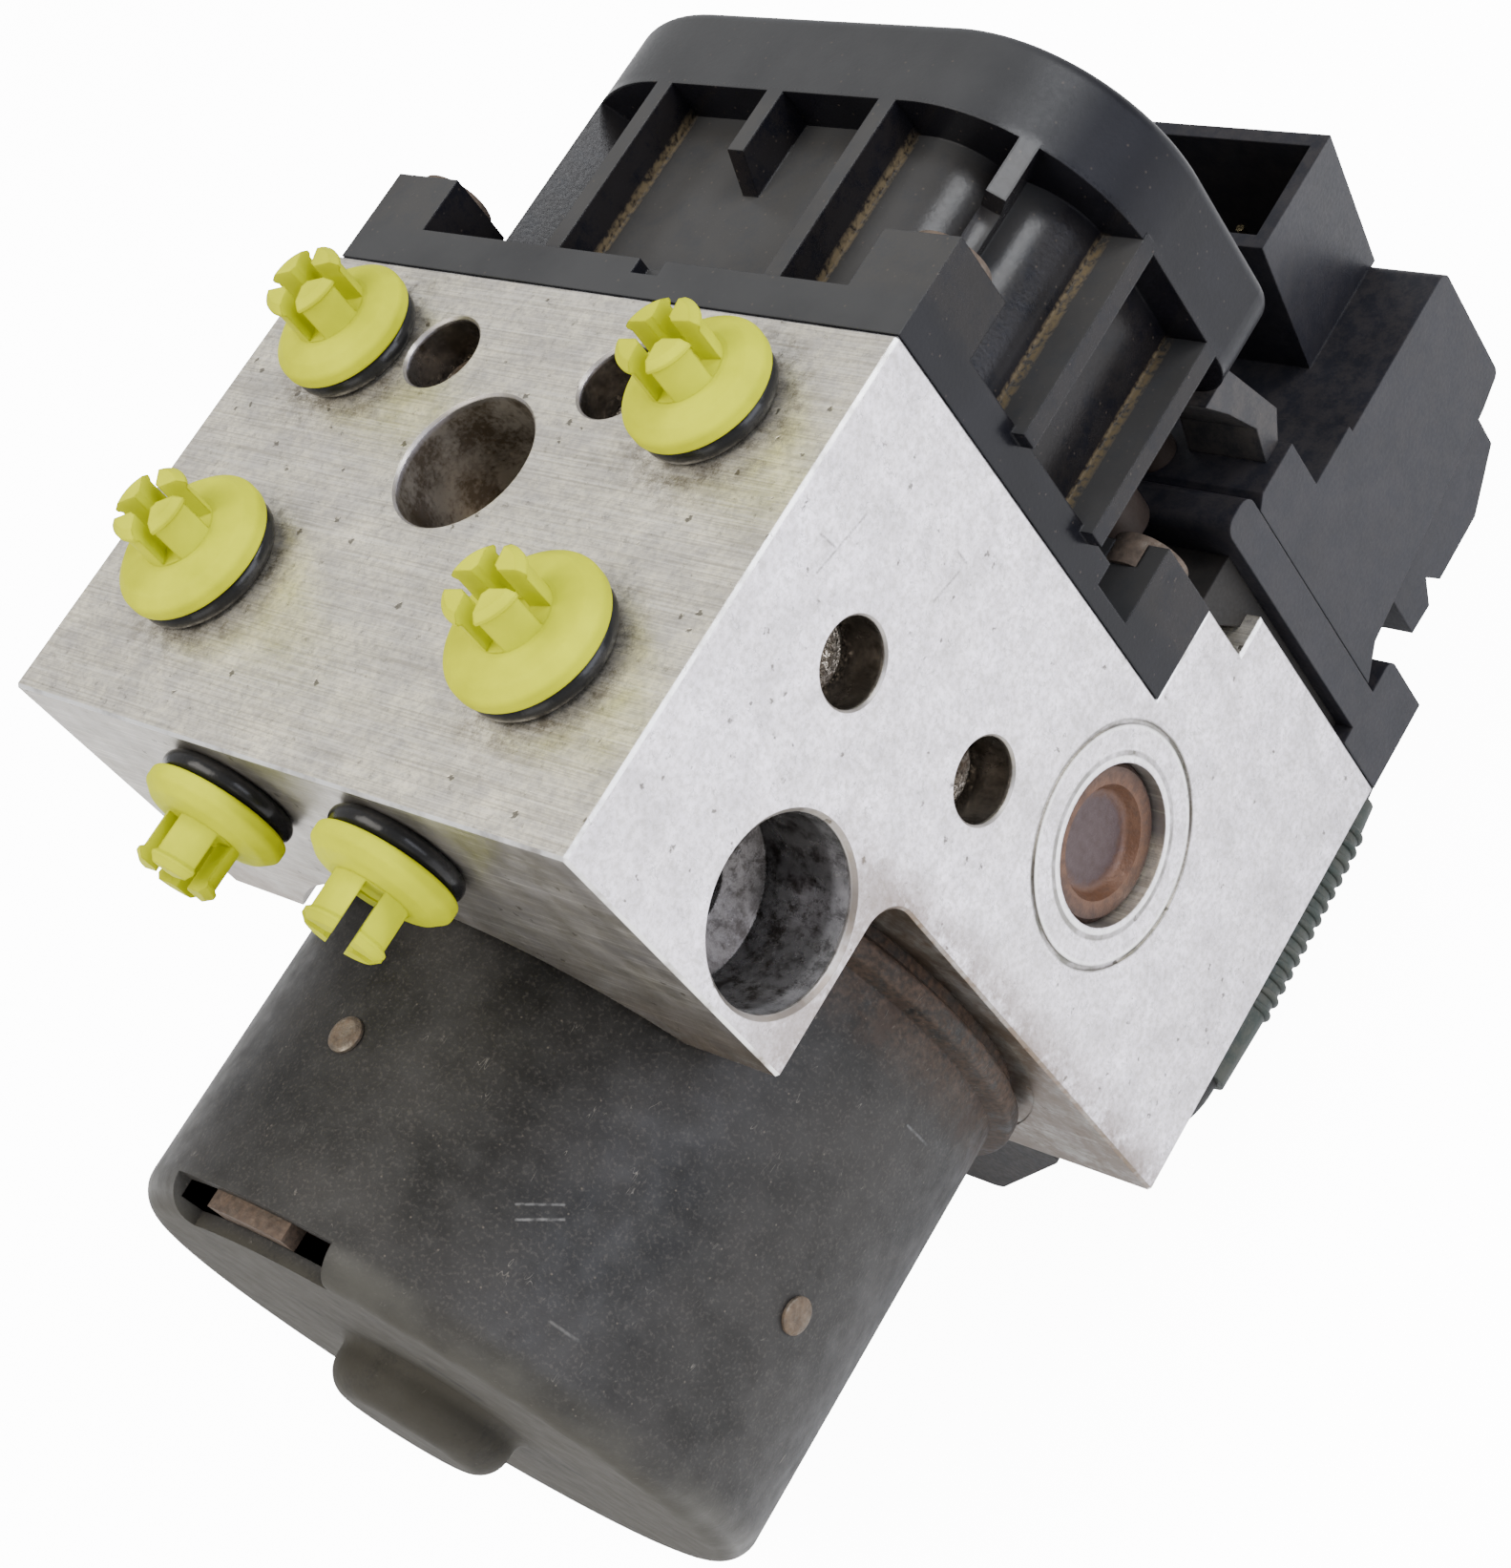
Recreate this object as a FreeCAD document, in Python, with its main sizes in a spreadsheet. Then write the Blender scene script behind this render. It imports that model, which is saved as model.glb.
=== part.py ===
"""Hydraulic brake modulator: valve block, pump motor, valve cover, controller and transport plugs.

Millimetres. +Z points out of the face with the four ports, +X out of the side with the large
bush bore, and the motor points along -Y. The origin lies on the block's underside, on its
centre line, straight below the machined seat of the valve cover (y = 0).
"""
import FreeCAD, Part
import math
import os
import re

import Sketcher

os.makedirs("parts", exist_ok=True)
doc = FreeCAD.newDocument("brake_modulator")

# Driving dimensions
SIZES = {
    # Valve block
    "block_width": 100.0,
    "block_height": 119.0,
    "head_depth": 69.4,
    "motor_face_depth": 44.2,
    "overhang_drop": 45.6,
    "seat_drop": 69.5,
    "step_one_depth": 14.0,
    "step_two_depth": 20.0,
    "step_two_drop": 79.5,
    "inner_corner_radius": 5.0,
    "block_edge": 0.4,
    "seat_gap": 0.02,
    "running_gap": 0.05,
    # Ports and their transport plugs
    "wheel_port_x": 31.0,
    "wheel_port_y": 13.0,
    "master_port_x": 30.0,
    "master_port_y": 47.2,
    "front_port_x": 15.5,
    "front_port_drop": 10.3,
    "wheel_port_radius": 5.0,
    "master_port_radius": 6.0,
    "port_length": 12.0,
    "wheel_flange_radius": 9.2,
    "master_flange_radius": 10.3,
    "ring_radius": 1.4,
    "ring_overhang": -0.4,
    "flange_start": 2.85,
    "flange_rim": 1.9,
    "flange_slope": 1.3,
    "flange_taper": 1.5,
    "flange_crown": 0.6,
    "plug_stem_length": 8.0,
    "plug_gap": 0.1,
    "prong_outer_radius": 4.9,
    "prong_inner_radius": 2.2,
    "prong_height": 6.6,
    "prong_barb": 0.45,
    "prong_slot": 2.4,
    # Bush bores and drilled channels
    "top_bore_x": 1.1,
    "top_bore_y": 25.9,
    "top_bore_radius": 9.65,
    "top_bore_length": 24.0,
    "side_bore_y": 55.7,
    "side_bore_drop": 32.2,
    "side_bore_radius": 11.5,
    "side_bore_length": 14.0,
    "side_step_radius": 6.5,
    "side_step_length": 5.0,
    "bore_mouth": 0.6,
    "small_mouth": 0.3,
    "channel_radius": 5.3,
    "channel_length": 10.0,
    "channel_plug_height": 4.0,
    "channel_left_x": 16.6,
    "channel_right_x": 14.4,
    "channel_top_y": 11.8,
    "channel_high_y": 29.4,
    "channel_high_drop": 20.8,
    "channel_low_y": 25.8,
    "channel_low_drop": 49.6,
    # Pump
    "motor_axis_height": 42.6,
    "pump_axis_y": 17.4,
    "cavity_radius": 13.0,
    "cavity_end_y": 5.0,
    "pump_bore_radius": 8.0,
    "pump_seat_radius": 10.4,
    "pump_seat_length": 9.0,
    "pump_plug_start": 34.0,
    "pump_plug_sink": 1.6,
    "pump_dish_radius": 6.4,
    "pump_dish_depth": 1.8,
    "caulk_radius": 15.5,
    "caulk_width": 0.6,
    "caulk_depth": 0.4,
    "cylinder_start": 14.0,
    "piston_radius": 4.0,
    "piston_tip": 12.3,
    "piston_length": 14.0,
    # Motor
    "can_radius": 43.9,
    "can_length": 68.8,
    "can_wall": 2.0,
    "can_end_round": 4.5,
    "bead_radius": 46.4,
    "bead_start": 1.3,
    "bead_width": 4.5,
    "arch_gap": 3.2,
    "spot_face": 0.2,
    "end_boss_radius": 12.5,
    "end_boss_height": 6.5,
    "end_boss_round": 4.0,
    "end_pocket_wall": 2.0,
    "window_start": 71.0,
    "window_angle": 39.0,
    "window_inner_radius": 38.5,
    "window_length": 4.3,
    "tab_radius": 40.6,
    "rivet_depth": 86.5,
    "rivet_head_radius": 2.4,
    "rivet_head_height": 0.8,
    "rivet_shank_radius": 1.5,
    "magnet_thickness": 6.5,
    "magnet_end_gap": 12.0,
    "magnet_start": 61.0,
    "magnet_angle": 66.0,
    "magnet_gap": 0.1,
    "air_gap": 0.8,
    "core_start": 64.0,
    "core_end_gap": 15.0,
    "slot_count": 12.0,
    "slot_width": 4.4,
    "slot_depth": 12.0,
    "winding_gap": 0.3,
    "winding_head": 7.0,
    "winding_inner_radius": 12.0,
    "shaft_radius": 5.0,
    "shaft_nose_y": 9.0,
    "commutator_radius": 11.0,
    "commutator_start": 47.0,
    "commutator_length": 8.6,
    "commutator_slot": 0.8,
    "commutator_slot_depth": 1.4,
    "brush_plate_start": 45.2,
    "brush_plate_thickness": 2.2,
    "brush_width": 6.0,
    "brush_height": 7.0,
    "brush_length": 12.0,
    "brush_gap": 0.1,
    "brush_guide_wall": 1.0,
    "brush_guide_start": 13.5,
    "brush_guide_end": 32.0,
    "bearing_radius": 14.0,
    "bearing_width": 8.0,
    "bearing_race": 2.6,
    "rear_bearing_radius": 9.5,
    "rear_bearing_width": 6.0,
    "rear_bearing_race": 1.5,
    "ball_count": 8.0,
    "eccentric_radius": 7.5,
    "eccentric_offset": 1.5,
    "eccentric_length": 11.0,
    "eccentric_ring_radius": 10.3,
    # Accumulators
    "accumulator_x": 26.0,
    "accumulator_y": 4.0,
    "accumulator_radius": 11.0,
    "accumulator_length": 24.0,
    "cap_sink": 0.4,
    "cap_thickness": 2.4,
    "accumulator_piston_start": 14.0,
    "accumulator_piston_length": 7.0,
    "accumulator_cup": 4.0,
    "accumulator_turns": 3.5,
    "accumulator_wire": 0.8,
    "accumulator_coil_radius": 5.5,
    "spring_wire": 0.55,
    "spring_turns": 4.0,
    # Valves and coils
    "valve_columns": 4.0,
    "valve_last_x": 35.4,
    "valve_pitch_x": 17.5,
    "valve_first_drop": 23.8,
    "valve_pitch_z": 17.0,
    "valve_stem_radius": 5.0,
    "valve_stem_length": 14.0,
    "valve_flange_radius": 6.4,
    "valve_flange_height": 1.5,
    "valve_tube_radius": 3.6,
    "valve_tube_length": 31.0,
    "valve_bore_radius": 2.6,
    "valve_bore_start": 4.0,
    "plunger_seat_y": 10.0,
    "plunger_length": 12.0,
    "coil_radius": 8.0,
    "coil_bore_radius": 3.8,
    "coil_start": 4.2,
    "coil_length": 24.0,
    "carrier_thickness": 1.8,
    "carrier_gap": 0.2,
    # Valve cover
    "flange_left": 46.0,
    "flange_height": 5.6,
    "band_left": 37.0,
    "band_right": 52.0,
    "band_drop": 1.5,
    "hood_rear_drop": 51.6,
    "hood_height": 46.0,
    "band_start": 33.5,
    "band_radius": 24.0,
    "hood_rear_radius": 7.0,
    "hood_edge_round": 2.0,
    "wall_inset": 6.0,
    "cover_wall": 2.0,
    "lobe_one_x": 27.5,
    "lobe_one_drop": 18.5,
    "lobe_one_radius": 11.0,
    "lobe_two_drop": 24.2,
    "lobe_two_radius": 10.6,
    "rib_thickness": 2.6,
    "rib_left_x": 12.3,
    "rib_mid_x": 6.8,
    "rib_right_x": 25.0,
    "rib_mid_start": 21.6,
    "side_rib_one_drop": 24.0,
    "side_rib_two_drop": 42.5,
    "corner_rib_angle": 50.0,
    "post_width": 11.4,
    "post_length": 11.1,
    "rear_post_length": 12.5,
    "post_height": 13.9,
    "bush_inset_x": 5.7,
    "bush_inset_z": 6.0,
    "rear_bush_inset_z": 8.0,
    "bush_left_x": 40.5,
    "bush_radius": 5.1,
    "bush_stem_radius": 4.2,
    "bush_collar_start": 10.5,
    "bush_height": 15.0,
    "screw_radius": 2.5,
    "screw_head_radius": 4.2,
    "screw_head_height": 3.4,
    "screw_depth": 13.0,
    "window_x": 7.4,
    "window_size": 4.4,
    "gasket_thickness": 1.2,
    "gasket_width": 1.5,
    "gasket_offset": 1.4,
    # Controller
    "seal_start_z": 11.4,
    "seal_inset": 2.5,
    "base_start": 22.5,
    "base_end": 28.4,
    "base_drop": 64.4,
    "base_round": 4.0,
    "foot_height": 11.0,
    "foot_end": 34.0,
    "case_gap": 0.15,
    "case_rear": 74.8,
    "case_rear_low": 21.8,
    "case_drop": 76.3,
    "case_step": 1.0,
    "case_step_y": 47.7,
    "case_neck_y": 38.3,
    "case_neck_drop": 67.0,
    "case_front_low": 12.8,
    "case_bend_y": 33.2,
    "case_bend_z": 16.1,
    "case_heel_y": 69.2,
    "case_heel_z": 20.4,
    "case_wall": 2.2,
    "belly_side": 46.0,
    "belly_front": 42.5,
    "belly_rear": 71.5,
    "belly_low": 4.5,
    "socket_left": 8.0,
    "socket_right": 38.5,
    "socket_flare": 3.7,
    "socket_front": 56.5,
    "socket_rear": 75.5,
    "socket_drop": 52.0,
    "socket_wall": 2.0,
    "pin_radius": 0.6,
    "pin_drop": 65.0,
    "pin_columns": 10.0,
    "pin_pitch": 4.0,
    "pin_row_gap": 7.0,
    "pin_gap": 0.05,
    "board_share": 0.3,
    "board_thickness": 1.6,
    "board_inset": 4.0,
    "bridge_x": 36.0,
    "bridge_width": 12.0,
    "grommet_x": 42.0,
    "grommet_front_y": 20.5,
    "grommet_rear_y": 31.5,
    "grommet_radius": 4.6,
    # Motor lead below the block
    "boot_left": 4.0,
    "boot_right": 33.5,
    "boot_drop": 22.5,
    "boot_front": 44.0,
    "boot_rear": 27.0,
    "boot_stem_radius": 4.0,
    "boot_stem_x": 18.0,
    "boot_stem_y": 35.5,
    "boot_stem_length": 11.0,
    "lead_channel_radius": 3.0,
    "lead_radius": 2.3,
    "lead_gap": 0.1,
    "lead_bend": 60.0,
    "lead_foot_x": 44.0,
    "lead_foot_y": 27.0,
    "lead_foot_depth": 8.5,
    "sleeve_radius": 3.3,
}

sheet = doc.addObject("Spreadsheet::Sheet", "Sizes")
for row, (alias, size) in enumerate(SIZES.items(), start=1):
    sheet.set("A%d" % row, alias)
    sheet.set("B%d" % row, repr(size))
    sheet.setAlias("B%d" % row, alias)
doc.recompute()


def formula(text):
    """Write a formula of size names as an expression on the sheet."""
    return re.sub(r"[a-z_]{3,}", lambda word: "Sizes." + word.group(), str(text))


def value(text):
    """Work a formula of size names out to a number."""
    return float(sheet.evalExpression(formula(text)))


# Directions a piece can be built along: turn axis and angle that bring its own +Z there
TURNS = {
    "+Z": ((1, 0, 0), 0),
    "-Z": ((1, 0, 0), 180),
    "+X": ((0, 1, 0), 90),
    "-X": ((0, 1, 0), -90),
    "+Y": ((1, 0, 0), -90),
    "-Y": ((1, 0, 0), 90),
}


def place(obj, x, y, z, axis="+Z", spin=0):
    """Stand an object at x, y, z with its own +Z along the axis, spun about itself."""
    turn_axis, turn_angle = TURNS[axis]
    turn = FreeCAD.Rotation(FreeCAD.Vector(*turn_axis), turn_angle)
    own = FreeCAD.Rotation(FreeCAD.Vector(0, 0, 1), spin)
    obj.Placement = FreeCAD.Placement(FreeCAD.Vector(), turn.multiply(own))
    for letter, text in zip("xyz", (x, y, z)):
        obj.setExpression("Placement.Base." + letter, formula(text))
    return obj


def make(kind, **formulas):
    obj = doc.addObject(kind, kind.split("::")[1])
    for name, text in formulas.items():
        obj.setExpression(name, formula(text))
    return obj


def rod(radius, length, x, y, z, axis="+Z"):
    return place(make("Part::Cylinder", Radius=radius, Height=length), x, y, z, axis)


def wedge(radius, length, angle, x, y, z, axis, spin):
    """A slice of a cylinder, open by the given angle."""
    return place(make("Part::Cylinder", Radius=radius, Height=length, Angle=angle), x, y, z, axis, spin)


def brick(x_low, x_high, y_low, y_high, z_low, z_high):
    box = make(
        "Part::Box",
        Length="(%s) - (%s)" % (x_high, x_low),
        Width="(%s) - (%s)" % (y_high, y_low),
        Height="(%s) - (%s)" % (z_high, z_low),
    )
    return place(box, x_low, y_low, z_low)


def join(*shapes):
    if len(shapes) == 1:
        return shapes[0]
    fused = doc.addObject("Part::MultiFuse", "Join")
    fused.Shapes = list(shapes)
    return fused


def cut(base, *tools):
    taken = doc.addObject("Part::Cut", "Cut")
    taken.Base = base
    taken.Tool = join(*tools)
    return taken


def group(*shapes):
    gathered = doc.addObject("Part::Compound", "Group")
    gathered.Links = list(shapes)
    return gathered


def ring(outer, inner, length, x, y, z, axis="+Z"):
    return cut(rod(outer, length, x, y, z, axis), rod(inner, length, x, y, z, axis))


def along(x, y, z, axis, distance):
    """The point a distance along an axis from x, y, z."""
    place_now = [x, y, z]
    letter = "XYZ".index(axis[1])
    place_now[letter] = "%s %s (%s)" % (place_now[letter], axis[0], distance)
    return place_now


def bore(radius, length, x, y, z, axis, mouth="bore_mouth"):
    """Tools for a drilled hole whose mouth is at x, y, z: chamfer, hole and drill point."""
    hole = rod(radius, length, x, y, z, axis)
    edge = make("Part::Cone", Radius1="%s + %s" % (radius, mouth), Radius2=radius, Height=mouth)
    tip = make("Part::Cone", Radius1=radius, Radius2="0", Height="(%s) * 0.4" % radius)
    place(edge, x, y, z, axis)
    place(tip, *along(x, y, z, axis, length), axis)
    return [hole, edge, tip]


def plane(body, role):
    for feature in body.Origin.OriginFeatures:
        if feature.Role == role:
            return feature
    raise ValueError(role)


def outline(body, role, points):
    """A closed sketch of straight lines, every corner held by its own two dimensions."""
    sketch = body.newObject("Sketcher::SketchObject", "Outline")
    sketch.AttachmentSupport = [(plane(body, role), "")]
    sketch.MapMode = "FlatFace"
    corners = [FreeCAD.Vector(value(u), value(v), 0) for u, v in points]
    count = len(corners)
    for i in range(count):
        sketch.addGeometry(Part.LineSegment(corners[i], corners[(i + 1) % count]), False)
    for i in range(count):
        sketch.addConstraint(Sketcher.Constraint("Coincident", i, 2, (i + 1) % count, 1))
    for i, pair in enumerate(points):
        for kind, axis_line, text in (("DistanceX", -2, pair[0]), ("DistanceY", -1, pair[1])):
            size = value(text)
            if abs(size) < 1e-9:
                sketch.addConstraint(Sketcher.Constraint("PointOnObject", i, 1, axis_line))
            else:
                index = sketch.addConstraint(Sketcher.Constraint(kind, -1, 1, i, 1, size))
                sketch.setExpression("Constraints[%d]" % index, formula(text))
    return sketch


def soften(body, kind, size, wanted):
    """Round or chamfer the edges of the body's last feature that the test picks."""
    doc.recompute()
    last = body.Tip
    names = ["Edge%d" % i for i, edge in enumerate(last.Shape.Edges, start=1) if wanted(edge)]
    if not names:
        raise ValueError("no edge to soften on " + body.Name)
    feature = body.newObject("PartDesign::" + kind, kind)
    feature.Base = (last, names)
    feature.setExpression("Radius" if kind == "Fillet" else "Size", formula(size))
    last.Visibility = False
    body.Tip = feature


def circle_at(radius, height):
    """Test for the circular edge of a turned piece at this radius and height."""
    def wanted(edge):
        curve = edge.Curve
        if not isinstance(curve, Part.Circle):
            return False
        return abs(curve.Radius - value(radius)) < 1e-4 and abs(curve.Center.z - value(height)) < 1e-4
    return wanted


def turned(points, x, y, z, axis, spin=0, rounds=()):
    """A solid of revolution: points are radius and height, the height running along the axis."""
    body = doc.addObject("PartDesign::Body", "Turned")
    sketch = outline(body, "XZ_Plane", points)
    feature = body.newObject("PartDesign::Revolution", "Revolution")
    feature.Profile = sketch
    feature.ReferenceAxis = (sketch, ["V_Axis"])
    feature.Angle = 360
    body.Tip = feature
    for radius, height, size in rounds:
        soften(body, "Fillet", size, circle_at(radius, height))
    return place(body, x, y, z, axis, spin)


def slab(role, points, start, length, rounds=()):
    """A straight extrusion of an outline: along +X from YZ_Plane, +Y from XZ_Plane, +Z from XY_Plane."""
    body = doc.addObject("PartDesign::Body", "Slab")
    sketch = outline(body, role, points)
    pad = body.newObject("PartDesign::Pad", "Pad")
    pad.Profile = sketch
    pad.Reversed = role == "XZ_Plane"
    pad.setExpression("Length", formula(length))
    body.Tip = pad
    axes = {"YZ_Plane": (1, 2, 0), "XZ_Plane": (0, 2, 1), "XY_Plane": (0, 1, 2)}[role]
    for number, size in rounds:
        corner = (value(points[number][0]), value(points[number][1]))

        def wanted(edge):
            ends = [vertex.Point for vertex in edge.Vertexes]
            if len(ends) != 2 or abs(ends[0][axes[2]] - ends[1][axes[2]]) < 1e-6:
                return False
            return all(
                abs(end[axes[0]] - corner[0]) < 1e-4 and abs(end[axes[1]] - corner[1]) < 1e-4
                for end in ends
            )

        soften(body, "Fillet", size, wanted)
    offset = ["0", "0", "0"]
    offset[axes[2]] = start
    return place(body, *offset)


def spring(radius, wire, turns, length, x, y, z, axis):
    """A coil spring whose wire stays between its two ends."""
    wire_radius = value(wire)
    height = value(length) - 2 * wire_radius
    helix = Part.makeLongHelix(height / value(turns), height, value(radius))
    section = Part.Wire(Part.makeCircle(
        wire_radius, FreeCAD.Vector(value(radius), 0, 0), FreeCAD.Vector(0, 1, 0)))
    coil = doc.addObject("Part::Feature", "Spring")
    coil.Shape = Part.Wire(helix).makePipeShell([section], True, True)
    return place(coil, *along(x, y, z, axis, wire), axis)


nodes = {}


def finish(name, obj):
    obj.Label = name
    nodes[name] = obj
    return obj


# Valve block: stock with its two steps and the head that overhangs the motor
stock = slab("YZ_Plane", [
    ("-head_depth", "block_height"),
    ("0", "block_height"),
    ("0", "block_height - seat_drop"),
    ("step_one_depth", "block_height - seat_drop"),
    ("step_one_depth", "block_height - step_two_drop"),
    ("step_two_depth", "block_height - step_two_drop"),
    ("step_two_depth", "0"),
    ("-motor_face_depth", "0"),
    ("-motor_face_depth", "block_height - overhang_drop"),
    ("-head_depth", "block_height - overhang_drop"),
], "-block_width / 2", "block_width", [(8, "inner_corner_radius")])


def outer_edge(edge):
    """Edges round the two sides of the block and along its outer corners."""
    ends = [vertex.Point for vertex in edge.Vertexes]
    if all(abs(end.x) < 1e-6 for end in ends) or all(abs(end.x - value("block_width")) < 1e-6 for end in ends):
        return isinstance(edge.Curve, Part.Line)
    corners = [("-head_depth", "block_height"), ("0", "block_height"), ("step_two_depth", "0"),
               ("-motor_face_depth", "0"), ("-head_depth", "block_height - overhang_drop")]
    return any(
        all(abs(end.y - value(u)) < 1e-4 and abs(end.z - value(v)) < 1e-4 for end in ends)
        for u, v in corners
    )


soften(stock, "Chamfer", "block_edge", outer_edge)

tools = [rod("can_radius + arch_gap", "head_depth - motor_face_depth + 1",
             "0", "-motor_face_depth + spot_face", "motor_axis_height", "-Y")]

# Mouth, direction into the block, bore and flange radius of the six ports
FRONT_Z = "block_height - front_port_drop"
PORTS = {
    "plug_wheel_left": ("-wheel_port_x", "-wheel_port_y", "block_height", "-Z", "wheel", 20),
    "plug_wheel_right": ("wheel_port_x", "-wheel_port_y", "block_height", "-Z", "wheel", 8),
    "plug_master_left": ("-master_port_x", "-master_port_y", "block_height", "-Z", "master", 33),
    "plug_master_right": ("master_port_x", "-master_port_y", "block_height", "-Z", "master", 12),
    "plug_front_left": ("-front_port_x", "-head_depth", FRONT_Z, "+Y", "wheel", 5),
    "plug_front_right": ("front_port_x", "-head_depth", FRONT_Z, "+Y", "wheel", 40),
}
for x, y, z, axis, kind, spin in PORTS.values():
    tools += bore(kind + "_port_radius", "port_length", x, y, z, axis)

# Mouths of the drilled channels, each closed by a staked plug
CHANNELS = [
    ("-channel_left_x", "-channel_top_y", "block_height", "-Z"),
    ("channel_right_x", "-channel_top_y", "block_height", "-Z"),
    ("block_width / 2", "-channel_high_y", "block_height - channel_high_drop", "-X"),
    ("block_width / 2", "-channel_low_y", "block_height - channel_low_drop", "-X"),
]
for x, y, z, axis in CHANNELS:
    tools += bore("channel_radius", "channel_length", x, y, z, axis, "small_mouth")

tools += bore("top_bore_radius", "top_bore_length",
              "-top_bore_x", "-top_bore_y", "block_height", "-Z", "small_mouth")
SIDES = (("", "+X", "-X"), ("-", "-X", "+X"))
for sign, outward, inward in SIDES:
    mouth = (sign + "block_width / 2", "-side_bore_y", "block_height - side_bore_drop")
    tools += bore("side_bore_radius", "side_bore_length", *mouth, inward)
    tools += bore("side_step_radius", "side_step_length",
                  *along(*mouth, inward, "side_bore_length"), inward)

# Motor side: bearing seat, eccentric cavity, cross bore of the pump and its two plug seats
tools += [
    rod("bearing_radius", "bearing_width", "0", "-motor_face_depth", "motor_axis_height", "+Y"),
    rod("cavity_radius", "motor_face_depth - cavity_end_y",
        "0", "-motor_face_depth", "motor_axis_height", "+Y"),
    rod("pump_bore_radius", "block_width", "-block_width / 2", "-pump_axis_y", "motor_axis_height", "+X"),
]
for sign, outward, inward in SIDES:
    mouth = (sign + "block_width / 2", "-pump_axis_y", "motor_axis_height")
    tools.append(rod("pump_seat_radius", "pump_seat_length", *mouth, inward))
    tools.append(ring("caulk_radius + caulk_width / 2", "caulk_radius - caulk_width / 2", "caulk_depth",
                      *mouth, inward))
    tools.append(rod("accumulator_radius", "accumulator_length",
                     sign + "accumulator_x", "-accumulator_y", "0", "+Z"))

# Valve seats and the cover's four screw holes
VALVES = [
    ("valve_last_x - valve_pitch_x * %d" % column, "block_height - valve_first_drop - valve_pitch_z * %d" % row)
    for row in range(2) for column in range(int(value("valve_columns")))
]
for x, z in VALVES:
    tools += bore("valve_stem_radius", "valve_stem_length", x, "0", z, "-Y")
SCREWS = [
    ("block_width / 2 - bush_inset_x", "block_height - bush_inset_z"),
    ("block_width / 2 - bush_inset_x", "block_height - seat_drop + rear_bush_inset_z"),
    ("-bush_left_x", "block_height - bush_inset_z"),
    ("-bush_left_x", "block_height - seat_drop + rear_bush_inset_z"),
]
for x, z in SCREWS:
    tools += bore("screw_radius + seat_gap", "screw_depth", x, "0", z, "-Y")

# Lead channel from the motor's brush plate down to the boot
tools += [
    rod("boot_stem_radius + seat_gap", "boot_stem_length + boot_stem_radius",
        "boot_stem_x", "-boot_stem_y", "0", "+Z"),
    rod("lead_channel_radius", "motor_face_depth - boot_stem_y",
        "boot_stem_x", "-motor_face_depth", "boot_stem_length", "+Y"),
]
finish("hydraulic_block", cut(stock, *tools))

# Staked plugs in the drilled channels
staked = []
for x, y, z, axis in CHANNELS:
    back = {"-Z": "+Z", "-X": "+X"}[axis]
    staked.append(turned([
        ("0", "0"),
        ("channel_radius - seat_gap", "0"),
        ("channel_radius - seat_gap", "channel_plug_height * 0.8"),
        ("channel_radius * 0.8", "channel_plug_height"),
        ("channel_radius * 0.6", "channel_plug_height"),
        ("channel_radius * 0.4", "channel_plug_height * 0.7"),
        ("0", "channel_plug_height * 0.6"),
    ], *along(x, y, z, axis, "channel_length"), back))
finish("channel_plugs", group(*staked))

# Transport plugs: flange, stem in the port and a crown of four barbed prongs
small_rings = []
large_rings = []
for name, (x, y, z, axis, kind, spin) in PORTS.items():
    outward = {"-Z": "+Z", "+Y": "-Y"}[axis]
    flange = kind + "_flange_radius"
    stem = kind + "_port_radius - plug_gap"
    crown = "flange_start + flange_rim + flange_slope + flange_crown"
    disc = turned([
        ("0", "-plug_stem_length"),
        (stem + " - 0.8", "-plug_stem_length"),
        (stem, "-plug_stem_length + 0.8"),
        (stem, "flange_start"),
        (flange, "flange_start"),
        (flange, "flange_start + flange_rim"),
        (flange + " - flange_taper", "flange_start + flange_rim + flange_slope"),
        ("prong_outer_radius + 0.6", crown),
        ("0", crown),
    ], x, y, z, outward, spin, rounds=[
        (flange, "flange_start + flange_rim", "0.9"),
        (flange, "flange_start", "0.6"),
        (flange + " - flange_taper", "flange_start + flange_rim + flange_slope", "1.2"),
    ])
    prongs = turned([
        ("prong_inner_radius", crown + " - 0.5"),
        ("prong_outer_radius", crown + " - 0.5"),
        ("prong_outer_radius", crown + " + prong_height - 1.6"),
        ("prong_outer_radius + prong_barb", crown + " + prong_height - 1.2"),
        ("prong_outer_radius + prong_barb", crown + " + prong_height - 0.8"),
        ("prong_outer_radius - 0.4", crown + " + prong_height"),
        ("prong_inner_radius", crown + " + prong_height"),
    ], x, y, z, outward, spin)
    slots = []
    for turn in (0, 90):
        slot = make("Part::Box", Length="prong_outer_radius * 4", Width="prong_slot",
                    Height="prong_height + 1")
        turn_axis, turn_angle = TURNS[outward]
        turned_to = FreeCAD.Rotation(FreeCAD.Vector(*turn_axis), turn_angle)
        turned_to = turned_to.multiply(FreeCAD.Rotation(FreeCAD.Vector(0, 0, 1), spin + turn))
        shift = turned_to.multVec(FreeCAD.Vector(
            -value("prong_outer_radius * 2"), -value("prong_slot / 2"), value(crown + " + 0.2")))
        slot.Placement = FreeCAD.Placement(
            FreeCAD.Vector(value(x), value(y), value(z)) + shift, turned_to)
        slots.append(slot)
    finish(name, join(disc, cut(prongs, *slots)))
    tube = make("Part::Torus", Radius1=flange + " + ring_overhang - ring_radius", Radius2="ring_radius")
    place(tube, *along(x, y, z, outward, "ring_radius + seat_gap"), outward)
    (large_rings if kind == "master" else small_rings).append(tube)
finish("port_rings_small", group(*small_rings))
finish("port_rings_large", group(*large_rings))

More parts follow.
